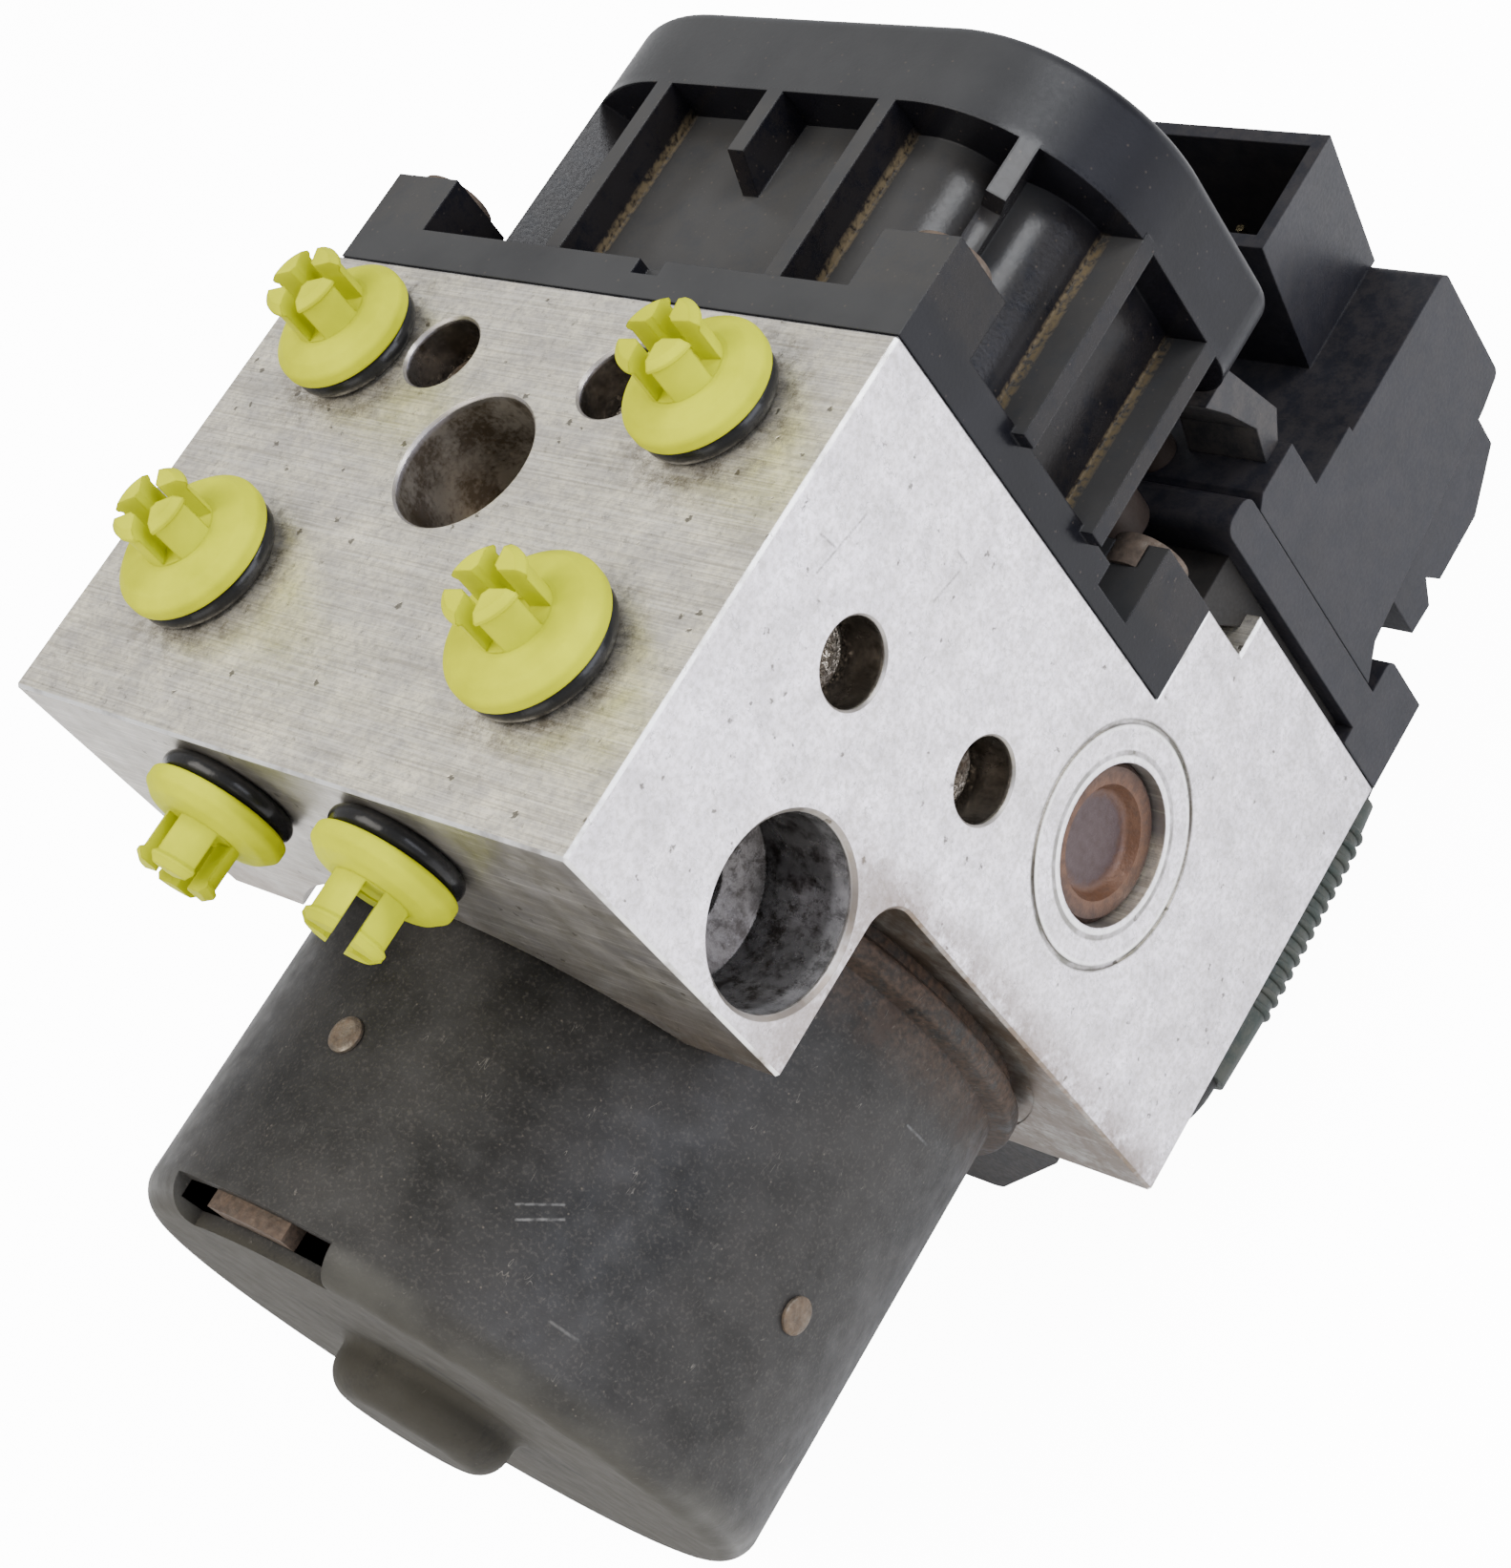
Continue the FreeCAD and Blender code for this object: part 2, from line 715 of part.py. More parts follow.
# Motor can with its bead, bearing boss and the crimp window in the end rim
inner = "can_radius - can_wall"
boss_top = "can_length + end_boss_height"
can = turned([
    (inner, "-spot_face"),
    ("can_radius", "-spot_face"),
    ("can_radius", "bead_start"),
    ("bead_radius", "bead_start + 1"),
    ("bead_radius", "bead_start + bead_width - 1"),
    ("can_radius", "bead_start + bead_width"),
    ("can_radius", "can_length"),
    ("end_boss_radius", "can_length"),
    ("end_boss_radius", boss_top),
    ("0", boss_top),
    ("0", boss_top + " - end_pocket_wall"),
    ("rear_bearing_radius", boss_top + " - end_pocket_wall"),
    ("rear_bearing_radius", "can_length - can_wall"),
    (inner, "can_length - can_wall"),
], "0", "-motor_face_depth", "motor_axis_height", "-Y", rounds=[
    ("can_radius", "can_length", "can_end_round"),
    ("end_boss_radius", boss_top, "end_boss_round"),
    ("end_boss_radius", "can_length", "1.5"),
    ("bead_radius", "bead_start + 1", "0.8"),
    ("bead_radius", "bead_start + bead_width - 1", "0.8"),
])
RIVETS = (("can_radius", "0", "+X"), ("0", "can_radius", "+Z"),
          ("-can_radius", "0", "-X"), ("0", "-can_radius", "-Z"))
holes = [
    rod("rivet_shank_radius + seat_gap", "can_wall * 2",
        *along(x, "-rivet_depth", "motor_axis_height + " + z, axis, "-can_wall * 1.5"), axis)
    for x, z, axis in RIVETS
]
window_y = "-motor_face_depth - can_length + window_length"
window = cut(
    wedge("can_radius + 1", "window_length + 1", "window_angle",
          "0", window_y, "motor_axis_height", "-Y", value("window_start")),
    rod("window_inner_radius", "window_length + 1", "0", window_y, "motor_axis_height", "-Y"),
)
finish("motor_can", cut(can, window, *holes))

rivets = [
    turned([
        ("0", "-can_wall - 1.2"),
        ("rivet_head_radius", "-can_wall - 1.2"),
        ("rivet_head_radius", "-can_wall - 0.1"),
        ("rivet_shank_radius", "-can_wall - 0.1"),
        ("rivet_shank_radius", "0"),
        ("rivet_head_radius", "0"),
        ("rivet_head_radius", "rivet_head_height * 0.5"),
        ("rivet_head_radius * 0.75", "rivet_head_height"),
        ("0", "rivet_head_height"),
    ], x, "-rivet_depth", "motor_axis_height + " + z, axis)
    for x, z, axis in RIVETS
]
finish("motor_rivets", group(*rivets))

# Crimp tab that shows in the window of the end rim
tab_y = "-motor_face_depth - can_length + can_wall + window_length"
tab = cut(
    wedge(inner + " - magnet_gap", "window_length", "window_angle * 0.5",
          "0", tab_y, "motor_axis_height", "-Y", value("window_start + window_angle * 0.25")),
    rod("tab_radius - 2", "window_length", "0", tab_y, "motor_axis_height", "-Y"),
)
finish("crimp_tab", tab)

# Magnets in the can; they and the rotor core end at a set distance from its end
magnet_length = "(motor_face_depth + can_length - magnet_start - magnet_end_gap)"
core_length = "(motor_face_depth + can_length - core_start - core_end_gap)"
pole = inner + " - magnet_gap - magnet_thickness"
magnets = []
for quarter in range(4):
    start = 45 + 90 * quarter - value("magnet_angle") / 2
    arc = wedge(inner + " - magnet_gap", magnet_length, "magnet_angle",
                "0", "-magnet_start", "motor_axis_height", "-Y", start)
    magnets.append(cut(arc, rod(pole, magnet_length, "0", "-magnet_start", "motor_axis_height", "-Y")))
finish("motor_magnets", group(*magnets))

# Brush plate with two guides, their brushes and springs
guide_top = "brush_plate_start + brush_plate_thickness + brush_width + brush_gap + brush_guide_wall"
guides = []
brush_holes = []
brushes = []
brush_springs = []
half = "brush_height / 2 + brush_gap + brush_guide_wall"
brush_y = "brush_plate_start + brush_plate_thickness"
for sign, outward, inward in SIDES:
    ends = sorted(["%sbrush_guide_start" % sign, "%sbrush_guide_end" % sign], key=value)
    guides.append(brick(*ends, "-(%s)" % guide_top, "-brush_plate_start",
                        "motor_axis_height - (%s)" % half, "motor_axis_height + (%s)" % half))
    ends = sorted([sign + "(brush_guide_start - 1)", sign + "(brush_guide_end - brush_guide_wall)"], key=value)
    brush_holes.append(brick(*ends, "-(%s) - brush_width - brush_gap" % brush_y, "-(%s)" % brush_y,
                             "motor_axis_height - brush_height / 2 - brush_gap",
                             "motor_axis_height + brush_height / 2 + brush_gap"))
    ends = sorted([sign + "(commutator_radius + brush_gap)",
                   sign + "(commutator_radius + brush_gap + brush_length)"], key=value)
    brushes.append(brick(*ends, "-(%s) - brush_width" % brush_y, "-(%s) - brush_gap / 2" % brush_y,
                         "motor_axis_height - brush_height / 2", "motor_axis_height + brush_height / 2"))
    brush_springs.append(spring(
        "brush_width / 2 - 0.9", "0.35", "spring_turns",
        "brush_guide_end - brush_guide_wall - commutator_radius - brush_gap - brush_length - 0.1",
        sign + "(commutator_radius + brush_gap + brush_length + 0.05)",
        "-(%s) - brush_width / 2" % brush_y, "motor_axis_height", outward))
plate = ring(inner + " - magnet_gap", "commutator_radius + 1.5", "brush_plate_thickness",
             "0", "-brush_plate_start", "motor_axis_height", "-Y")
finish("brush_holder", cut(join(plate, *guides), *brush_holes))
finish("brushes", group(*brushes))
finish("brush_springs", group(*brush_springs))

# Rotor: shaft with its eccentric, core, windings and commutator
shaft_end = "motor_face_depth + %s - end_pocket_wall - 0.5" % boss_top
journal_y = "-pump_axis_y + eccentric_length / 2"
shaft = join(
    rod("shaft_radius", "%s - shaft_nose_y" % shaft_end, "0", "-shaft_nose_y", "motor_axis_height", "-Y"),
    rod("eccentric_radius", "eccentric_length", "eccentric_offset", journal_y, "motor_axis_height", "-Y"),
)
finish("rotor_shaft", shaft)
finish("eccentric_ring", ring("eccentric_ring_radius", "eccentric_radius + seat_gap", "eccentric_length",
                              "eccentric_offset", journal_y, "motor_axis_height", "-Y"))

core_radius = pole + " - air_gap"


def spokes(inner_radius, outer_radius, width, y_start, length, count):
    """Radial bars about the motor axis."""
    bars = []
    for number in range(count):
        bar = make("Part::Box", Length="%s - (%s)" % (outer_radius, inner_radius), Width=width, Height=length)
        turn = FreeCAD.Rotation(FreeCAD.Vector(1, 0, 0), 90)
        turn = turn.multiply(FreeCAD.Rotation(FreeCAD.Vector(0, 0, 1), 360 * (number + 0.5) / count))
        shift = turn.multVec(FreeCAD.Vector(value(inner_radius), -value(width) / 2, 0))
        axis_point = FreeCAD.Vector(0, value(y_start), value("motor_axis_height"))
        bar.Placement = FreeCAD.Placement(axis_point + shift, turn)
        bars.append(bar)
    return bars


slot_count = int(value("slot_count"))
core = cut(
    ring(core_radius, "shaft_radius + seat_gap", core_length,
         "0", "-core_start", "motor_axis_height", "-Y"),
    *spokes(core_radius + " - slot_depth", core_radius + " + 1", "slot_width",
            "-core_start", core_length, slot_count),
)
finish("rotor_core", core)
winding_outer = core_radius + " - winding_gap - 0.5"
windings = join(
    ring(winding_outer, "winding_inner_radius", "winding_head",
         "0", "-core_start + winding_head", "motor_axis_height", "-Y"),
    ring(winding_outer, "winding_inner_radius", "winding_head",
         "0", "-core_start - %s" % core_length, "motor_axis_height", "-Y"),
    *spokes(core_radius + " - slot_depth + winding_gap", winding_outer, "slot_width - 2 * winding_gap",
            "-core_start + 1", core_length + " + 2", slot_count),
)
finish("rotor_windings", windings)
commutator = cut(
    ring("commutator_radius", "shaft_radius + seat_gap", "commutator_length",
         "0", "-commutator_start", "motor_axis_height", "-Y"),
    *spokes("commutator_radius - commutator_slot_depth", "commutator_radius + 1", "commutator_slot",
            "-commutator_start + 1", "commutator_length + 2", slot_count),
)
finish("commutator", commutator)


# Ball bearings of the shaft: fixed outer races with their balls, and inner races on the shaft
BEARINGS = [
    ("bearing_radius", "bearing_race", "bearing_width", "-motor_face_depth + bearing_width"),
    ("rear_bearing_radius", "rear_bearing_race", "rear_bearing_width",
     "-motor_face_depth - can_length + can_wall - 0.2"),
]
outer_races = []
inner_races = []
ball_count = int(value("ball_count"))
for radius, race, width, y in BEARINGS:
    outer_inside = "(%s - %s)" % (radius, race)
    inner_outside = "(shaft_radius + %s)" % race
    pitch = "(%s + %s) / 2" % (outer_inside, inner_outside)
    outer_races.append(ring("%s - seat_gap" % radius, outer_inside, width,
                            "0", y, "motor_axis_height", "-Y"))
    inner_races.append(ring(inner_outside, "shaft_radius + seat_gap", width,
                            "0", y, "motor_axis_height", "-Y"))
    for number in range(ball_count):
        angle = 2 * math.pi * number / ball_count
        ball = make("Part::Sphere", Radius="(%s - %s) / 2 - running_gap" % (outer_inside, inner_outside))
        outer_races.append(place(
            ball, "%s * %.6f" % (pitch, math.cos(angle)), "%s - %s / 2" % (y, width),
            "motor_axis_height + %s * %.6f" % (pitch, math.sin(angle))))
finish("bearing_outer_races", group(*outer_races))
finish("bearing_inner_races", group(*inner_races))

# Pump cylinders, pistons, springs and plugs on both sides of the eccentric
cylinders = []
plugs = []
plug_end = "block_width / 2 - pump_plug_start - pump_plug_sink"
stem_end = "block_width / 2 - pump_plug_start - pump_seat_length"
for side, (sign, outward, inward) in zip(("right", "left"), SIDES):
    at = ("-pump_axis_y", "motor_axis_height", outward)
    cylinders.append(ring("pump_bore_radius - seat_gap", "piston_radius + running_gap",
                          "pump_plug_start - cylinder_start", sign + "cylinder_start", *at))
    finish("pump_piston_" + side, rod("piston_radius", "piston_length", sign + "piston_tip", *at))
    finish("pump_spring_" + side, spring(
        "piston_radius - spring_wire - 0.3", "spring_wire * 0.9", "spring_turns",
        "pump_plug_start - piston_tip - piston_length - 0.1",
        sign + "(piston_tip + piston_length + 0.05)", *at))
    plugs.append(turned([
        ("0", "0"),
        ("pump_bore_radius - seat_gap", "0"),
        ("pump_bore_radius - seat_gap", stem_end),
        ("pump_seat_radius - seat_gap", stem_end),
        ("pump_seat_radius - seat_gap", plug_end + " - 0.8"),
        ("pump_seat_radius - 0.8", plug_end),
        ("pump_dish_radius + 1", plug_end),
        ("pump_dish_radius", plug_end + " - pump_dish_depth"),
        ("0", plug_end + " - pump_dish_depth"),
    ], sign + "pump_plug_start", *at, rounds=[
        ("pump_dish_radius", plug_end + " - pump_dish_depth", "1"),
    ]))
finish("pump_cylinders", group(*cylinders))
finish("pump_plugs", group(*plugs))

# Accumulators under the block: cap, spring and cup piston
caps = []
for side, (sign, outward, inward) in zip(("right", "left"), SIDES):
    x = sign + "accumulator_x"
    caps.append(rod("accumulator_radius - seat_gap", "cap_thickness", x, "-accumulator_y", "cap_sink"))
    finish("accumulator_piston_" + side, cut(
        rod("accumulator_radius - running_gap", "accumulator_piston_length",
            x, "-accumulator_y", "accumulator_piston_start"),
        rod("accumulator_radius - 2.5", "accumulator_cup", x, "-accumulator_y", "accumulator_piston_start"),
    ))
    finish("accumulator_spring_" + side, spring(
        "accumulator_coil_radius", "accumulator_wire", "accumulator_turns",
        "accumulator_piston_start + accumulator_cup - cap_sink - cap_thickness - 0.1",
        x, "-accumulator_y", "cap_sink + cap_thickness + 0.05", "+Z"))
finish("accumulator_caps", group(*caps))

# Valves, plungers and coils
bodies = []
coils = []
for number, (x, z) in enumerate(VALVES, start=1):
    bodies.append(turned([
        ("0", "-valve_stem_length"),
        ("valve_stem_radius - seat_gap", "-valve_stem_length"),
        ("valve_stem_radius - seat_gap", "0"),
        ("valve_flange_radius", "0"),
        ("valve_flange_radius", "valve_flange_height"),
        ("valve_tube_radius", "valve_flange_height"),
        ("valve_tube_radius", "valve_tube_length"),
        ("0", "valve_tube_length"),
        ("0", "valve_tube_length - 1.2"),
        ("valve_bore_radius", "valve_tube_length - 1.2"),
        ("valve_bore_radius", "-valve_bore_start"),
        ("0", "-valve_bore_start"),
    ], x, "0", z, "+Y"))
    finish("valve_plunger_%d" % number,
           rod("valve_bore_radius - running_gap", "plunger_length", x, "plunger_seat_y", z, "+Y"))
    coils.append(ring("coil_radius", "coil_bore_radius", "coil_length", x, "coil_start", z, "+Y"))
finish("valve_bodies", group(*bodies))
finish("solenoid_coils", group(*coils))


# Valve cover
def wall_shape(inset, start, length):
    """The recessed lower wall of the hood, a closed block smaller all round by the inset."""
    left = "-band_left + wall_inset + (%s)" % inset
    front = "block_height - band_drop - wall_inset - (%s)" % inset
    right = "band_right - wall_inset - (%s)" % inset
    rear = "block_height - hood_rear_drop + (%s)" % inset
    return join(
        slab("XZ_Plane", [(left, front), ("lobe_one_x", front), ("lobe_one_x", rear), (left, rear)],
             start, length, [(0, "band_radius - wall_inset - (%s)" % inset),
                             (3, "hood_rear_radius - (%s)" % inset)]),
        slab("XZ_Plane", [("lobe_one_x - 1", "block_height - lobe_two_drop"),
                          (right, "block_height - lobe_two_drop"),
                          (right, rear), ("lobe_one_x - 1", rear)],
             start, length, [(2, "hood_rear_radius - (%s)" % inset)]),
        rod("lobe_one_radius - (%s)" % inset, length,
            "lobe_one_x", start, "block_height - lobe_one_drop", "+Y"),
        rod("lobe_two_radius - (%s)" % inset, length,
            "valve_last_x", start, "block_height - lobe_two_drop", "+Y"),
    )


def band_shape(inset, start, length, top_round=None):
    left = "-band_left + (%s)" % inset
    right = "band_right - (%s)" % inset
    front = "block_height - band_drop - (%s)" % inset
    rear = "block_height - hood_rear_drop + (%s)" % inset
    body = slab("XZ_Plane", [(left, front), (right, front), (right, rear), (left, rear)],
                start, length, [(0, "band_radius - (%s)" % inset), (1, "band_radius - (%s)" % inset),
                                (2, "hood_rear_radius - (%s)" % inset),
                                (3, "hood_rear_radius - (%s)" % inset)])
    if top_round:
        top = value(length)
        soften(body, "Fillet", top_round,
               lambda edge: all(abs(vertex.Point.y - top) < 1e-4 for vertex in edge.Vertexes))
    return body


def rib(x_low, x_high, z_low, z_high, y_low="flange_height - 1"):
    return brick(x_low, x_high, y_low, "band_start + 1", z_low, z_high)


front_low = "block_height - band_drop - wall_inset - 1"
front_high = "block_height - band_drop"
cover_solids = [
    brick("-flange_left", "block_width / 2", "0", "flange_height",
          "block_height - seat_drop", "block_height"),
    band_shape("0", "band_start", "hood_height - band_start", "hood_edge_round"),
    wall_shape("0", "1", "band_start"),
]
for x in ("-rib_left_x", "rib_right_x"):
    cover_solids.append(rib(x + " - rib_thickness / 2", x + " + rib_thickness / 2", front_low, front_high))
for drop in ("side_rib_one_drop", "side_rib_two_drop"):
    low = "block_height - %s - rib_thickness / 2" % drop
    high = "block_height - %s + rib_thickness / 2" % drop
    cover_solids.append(rib("band_right - wall_inset - 1", "band_right", low, high))
    cover_solids.append(rib("-band_left", "-band_left + wall_inset + 1", low, high))
cover_solids.append(slab("YZ_Plane", [
    ("rib_mid_start", front_low),
    ("band_start + 1", front_low),
    ("band_start + 1", front_high),
    ("rib_mid_start + 2.4", front_high),
], "rib_mid_x - rib_thickness / 2", "rib_thickness"))
for letter, x_mid in (("right", "band_right - band_radius"), ("left", "-band_left + band_radius")):
    angle = math.radians(value("corner_rib_angle"))
    if letter == "left":
        angle = math.pi - angle
    web = make("Part::Box", Length="wall_inset + 3", Width="rib_thickness", Height="band_start - flange_height + 2")
    turn = FreeCAD.Rotation(FreeCAD.Vector(1, 0, 0), -90)
    turn = turn.multiply(FreeCAD.Rotation(FreeCAD.Vector(0, 0, 1), -math.degrees(angle)))
    reach = value("band_radius - wall_inset") - 3.0
    centre = FreeCAD.Vector(value(x_mid), value("flange_height") - 1,
                            value("block_height - band_drop - band_radius"))
    web.Placement = FreeCAD.Placement(
        centre + turn.multVec(FreeCAD.Vector(reach, -value("rib_thickness") / 2, 0)), turn)
    cover_solids.append(web)
POSTS = [
    ("block_width / 2 - post_width", "block_width / 2"),
    ("-flange_left", "-flange_left + post_width"),
]
for x_low, x_high in POSTS:
    cover_solids.append(brick(x_low, x_high, "0", "post_height", "block_height - post_length", "block_height"))
    cover_solids.append(brick(x_low, x_high, "0", "post_height",
                              "block_height - seat_drop", "block_height - seat_drop + rear_post_length"))
cover_cuts = [
    wall_shape("cover_wall", "-1", "band_start + cover_wall + 1"),
    band_shape("cover_wall", "band_start + cover_wall", "hood_height - band_start - 2 * cover_wall"),
    brick("window_x - window_size / 2", "window_x + window_size / 2",
          "flange_height - window_size * 0.5", "flange_height + 1",
          "block_height - 2", "block_height + 1"),
    brick("block_width / 2 - 5", "block_width / 2 + 1", "2.5", "flange_height + 1",
          "block_height - seat_drop + rear_post_length", "block_height - seat_drop + rear_post_length + 8"),
    cut(wall_shape("-gasket_offset - gasket_width - seat_gap", "-1", "gasket_thickness + seat_gap + 1"),
        wall_shape("-gasket_offset + seat_gap", "-1", "gasket_thickness + seat_gap + 1")),
]
for x, z in SCREWS:
    cover_cuts.append(rod("bush_stem_radius + seat_gap", "bush_height", x, "-1", z, "+Y"))
    cover_cuts.append(rod("bush_radius + seat_gap", "bush_height", x, "bush_collar_start", z, "+Y"))
finish("valve_cover", cut(join(*cover_solids), *cover_cuts))
finish("cover_gasket", cut(
    wall_shape("-gasket_offset - gasket_width", "0", "gasket_thickness"),
    wall_shape("-gasket_offset", "0", "gasket_thickness")))

# Bushes in the cover's corner posts with their screws sunk in the collars
bushes = []
screws = []
for x, z in SCREWS:
    bushes.append(turned([
        ("screw_radius + running_gap", "0"),
        ("bush_stem_radius", "0"),
        ("bush_stem_radius", "bush_collar_start + seat_gap"),
        ("bush_radius", "bush_collar_start + seat_gap"),
        ("bush_radius", "bush_height"),
        ("screw_head_radius + running_gap", "bush_height"),
        ("screw_head_radius + running_gap", "bush_collar_start + seat_gap + 0.5"),
        ("screw_radius + running_gap", "bush_collar_start + seat_gap + 0.5"),
    ], x, "0", z, "+Y"))
    screws.append(turned([
        ("0", "-screw_depth"),
        ("screw_radius", "-screw_depth"),
        ("screw_radius", "bush_collar_start + 0.55"),
        ("screw_head_radius", "bush_collar_start + 0.55"),
        ("screw_head_radius", "bush_collar_start + 0.55 + screw_head_height"),
        ("screw_radius", "bush_collar_start + 0.55 + screw_head_height"),
        ("screw_radius * 0.8", "bush_collar_start + 0.55 + screw_head_height * 0.4"),
        ("0", "bush_collar_start + 0.55 + screw_head_height * 0.4"),
    ], x, "0", z, "+Y"))
finish("cover_bushes", group(*bushes))
finish("cover_screws", group(*screws))

# Coil carrier: a plate under and a plate over the coils, joined by bars between them
carrier_low = "coil_start - carrier_gap - carrier_thickness"
carrier_high = "coil_start + coil_length + carrier_gap"
mid_z = "block_height - valve_first_drop - valve_pitch_z / 2"
carrier_half = "valve_pitch_z / 2 + coil_radius - 1"
carrier_left = "valve_last_x - valve_pitch_x * (valve_columns - 1) - coil_radius"
carrier_right = "valve_last_x + 6"
carrier_solids = [
    brick(carrier_left, carrier_right, start, "%s + carrier_thickness" % start,
          "%s - %s" % (mid_z, "(" + carrier_half + ")"), "%s + %s" % (mid_z, "5"))
    for start in (carrier_low, carrier_high)
]
carrier_solids += [
    rod("1.4", "coil_length + 2 * carrier_gap + 1",
        "valve_last_x - valve_pitch_x * (%d + 0.5)" % column, "coil_start - carrier_gap - 0.5", mid_z, "+Y")
    for column in range(int(value("valve_columns")) - 1)
]
carrier_holes = [
    rod("valve_flange_radius + 0.3", "carrier_thickness + 1", x, carrier_low + " - 0.5", z, "+Y")
    for x, z in VALVES
]
carrier_holes += [
    rod("valve_tube_radius + 0.3", "carrier_thickness + 1", x, carrier_high + " - 0.5", z, "+Y")
    for x, z in VALVES
]
finish("coil_carrier", cut(join(*carrier_solids), *carrier_holes))

# Controller: seal on the block's rear face, base frame with its foot, case, socket and board
half_width = "block_width / 2"
finish("controller_seal", slab("YZ_Plane", [
    ("step_two_depth", "seal_start_z"),
    ("base_start", "seal_start_z"),
    ("base_start", "block_height - seat_drop - 1"),
    ("step_one_depth + seat_gap", "block_height - seat_drop - 1"),
    ("step_one_depth + seat_gap", "block_height - seat_drop - 4"),
    ("step_two_depth - 2", "block_height - step_two_drop"),
    ("step_two_depth", "block_height - step_two_drop"),
], "-%s + seal_inset" % half_width, "block_width - 2 * seal_inset"))

# Heights of the controller hang from the block's top, as the hood does
hood_rear = "block_height - hood_rear_drop"
base_top = "(block_height - base_drop)"
case_top = "(block_height - case_drop)"
neck_top = "(block_height - case_neck_drop)"
socket_top = "(block_height - socket_drop)"
pin_top = "(block_height - pin_drop)"
board_low = "(case_rear_low + board_share * (%s - case_rear_low))" % case_top

lead_hole = rod("lead_radius + lead_gap", "lead_foot_depth", "lead_foot_x", "lead_foot_y", "-0.2", "+Z")
frame_body = slab("YZ_Plane", [
    ("step_two_depth + seat_gap", "0"),
    ("foot_end", "0"),
    ("foot_end", "foot_height"),
    ("base_end", "foot_height"),
    ("base_end", base_top),
    ("base_start + seat_gap", base_top),
    ("base_start + seat_gap", "foot_height"),
    ("step_two_depth + seat_gap", "foot_height"),
], "-%s" % half_width, "block_width", [(4, "base_round / 2"), (5, "base_round / 2"), (2, "1.5")])
finish("controller_base", cut(frame_body, lead_hole))

case_front = "base_end + case_gap"
case_outer = slab("YZ_Plane", [
    (case_front, "case_front_low"),
    ("case_bend_y", "case_bend_z"),
    ("case_heel_y", "case_heel_z"),
    ("case_rear", "case_rear_low"),
    ("case_rear", case_top),
    ("case_step_y", case_top),
    ("case_step_y", case_top + " + case_step"),
    ("case_neck_y", case_top + " + case_step"),
    ("case_neck_y", neck_top),
    ("base_end + 1.9", neck_top),
    (case_front, neck_top + " - 1.4"),
], "-%s" % half_width, "block_width", [(4, "1.5"), (3, "1.5")])
belly = slab("YZ_Plane", [
    ("belly_front", "belly_low - 0.5"),
    ("belly_front + 5", "belly_low - 0.8"),
    ("belly_front + 7", "belly_low + 3"),
    ("belly_front + 9", "belly_low"),
    ("belly_rear - 9", "belly_low"),
    ("belly_rear", "belly_low + 5"),
    ("belly_rear", "case_heel_z + 1"),
    ("belly_front", "case_bend_z + 2"),
], "-belly_side", "2 * belly_side")


def socket(inset, top):
    return slab("XZ_Plane", [
        ("-socket_left + (%s)" % inset, case_top + " - 0.5"),
        ("socket_right - (%s)" % inset, case_top + " - 0.5"),
        ("socket_right + socket_flare - (%s)" % inset, top),
        ("-socket_left - socket_flare + (%s)" % inset, top),
    ], "socket_front + (%s)" % inset, "socket_rear - socket_front - 2 * (%s)" % inset)


shroud = cut(socket("0", socket_top), socket("socket_wall", socket_top + " + 0.001"))
room = slab("YZ_Plane", [
    ("base_end", "case_bend_z + 0.6"),
    ("case_bend_y", "case_bend_z + case_wall + 0.2"),
    ("case_heel_y - 1", "case_heel_z + case_wall + 0.2"),
    ("case_rear - case_wall", "case_heel_z + case_wall + 0.6"),
    ("case_rear - case_wall", case_top + " - case_wall"),
    ("case_neck_y - case_wall", case_top + " - case_wall"),
    ("case_neck_y - case_wall", neck_top + " - case_wall"),
    ("base_end", neck_top + " - case_wall"),
], "-%s + case_wall" % half_width, "block_width - 2 * case_wall")
pin_columns = int(value("pin_columns"))
pin_mid_x = "(socket_right - socket_left) / 2"
pin_mid_y = "(socket_front + socket_rear) / 2"
PINS = [
    ("%s + pin_pitch * (%d - (pin_columns - 1) / 2)" % (pin_mid_x, column),
     "%s + pin_row_gap * (%d - 0.5)" % (pin_mid_y, row))
    for row in range(2) for column in range(pin_columns)
]
pin_low = board_low + " - 1"
pin_holes = [
    rod("pin_radius + pin_gap", "case_wall + 2", x, y, case_top + " - case_wall - 1") for x, y in PINS
]
finish("controller_case", cut(join(case_outer, belly, shroud), room, *pin_holes))
finish("connector_pins", group(*[
    rod("pin_radius", "%s - (%s)" % (pin_top, pin_low), x, y, pin_low) for x, y in PINS
]))
board = brick("-%s + board_inset" % half_width, "%s - board_inset" % half_width,
              "base_end + 1.5", "case_rear - case_wall - 0.5",
              board_low, board_low + " + board_thickness")
finish("circuit_board", cut(board, *[
    rod("pin_radius + pin_gap", "board_thickness + 1", x, y, board_low + " - 0.5") for x, y in PINS
]))

# Bridge and grommets that carry the coil leads from the hood to the controller
finish("lead_bridge", slab("YZ_Plane", [
    ("case_neck_y - 7", hood_rear + " - seat_gap"),
    ("case_neck_y - 1", hood_rear + " - seat_gap"),
    ("case_neck_y + 2.4", neck_top + " + 3.7"),
    ("case_neck_y - 0.3", neck_top + " + seat_gap"),
    ("case_neck_y - 3.5", neck_top + " + seat_gap"),
    ("case_neck_y - 2", neck_top + " + 5"),
    ("case_neck_y - 4.5", neck_top + " + 11"),
], "bridge_x", "bridge_width"))
grommets = [
    rod("grommet_radius", "%s - %s - 2 * seat_gap" % (hood_rear, base_top),
        "grommet_x - 8", "grommet_front_y", base_top + " + seat_gap"),
    rod("grommet_radius * 0.7", "%s - %s - 2 * seat_gap" % (hood_rear, neck_top),
        "grommet_x - 11", "grommet_rear_y + 2", neck_top + " + seat_gap"),
]
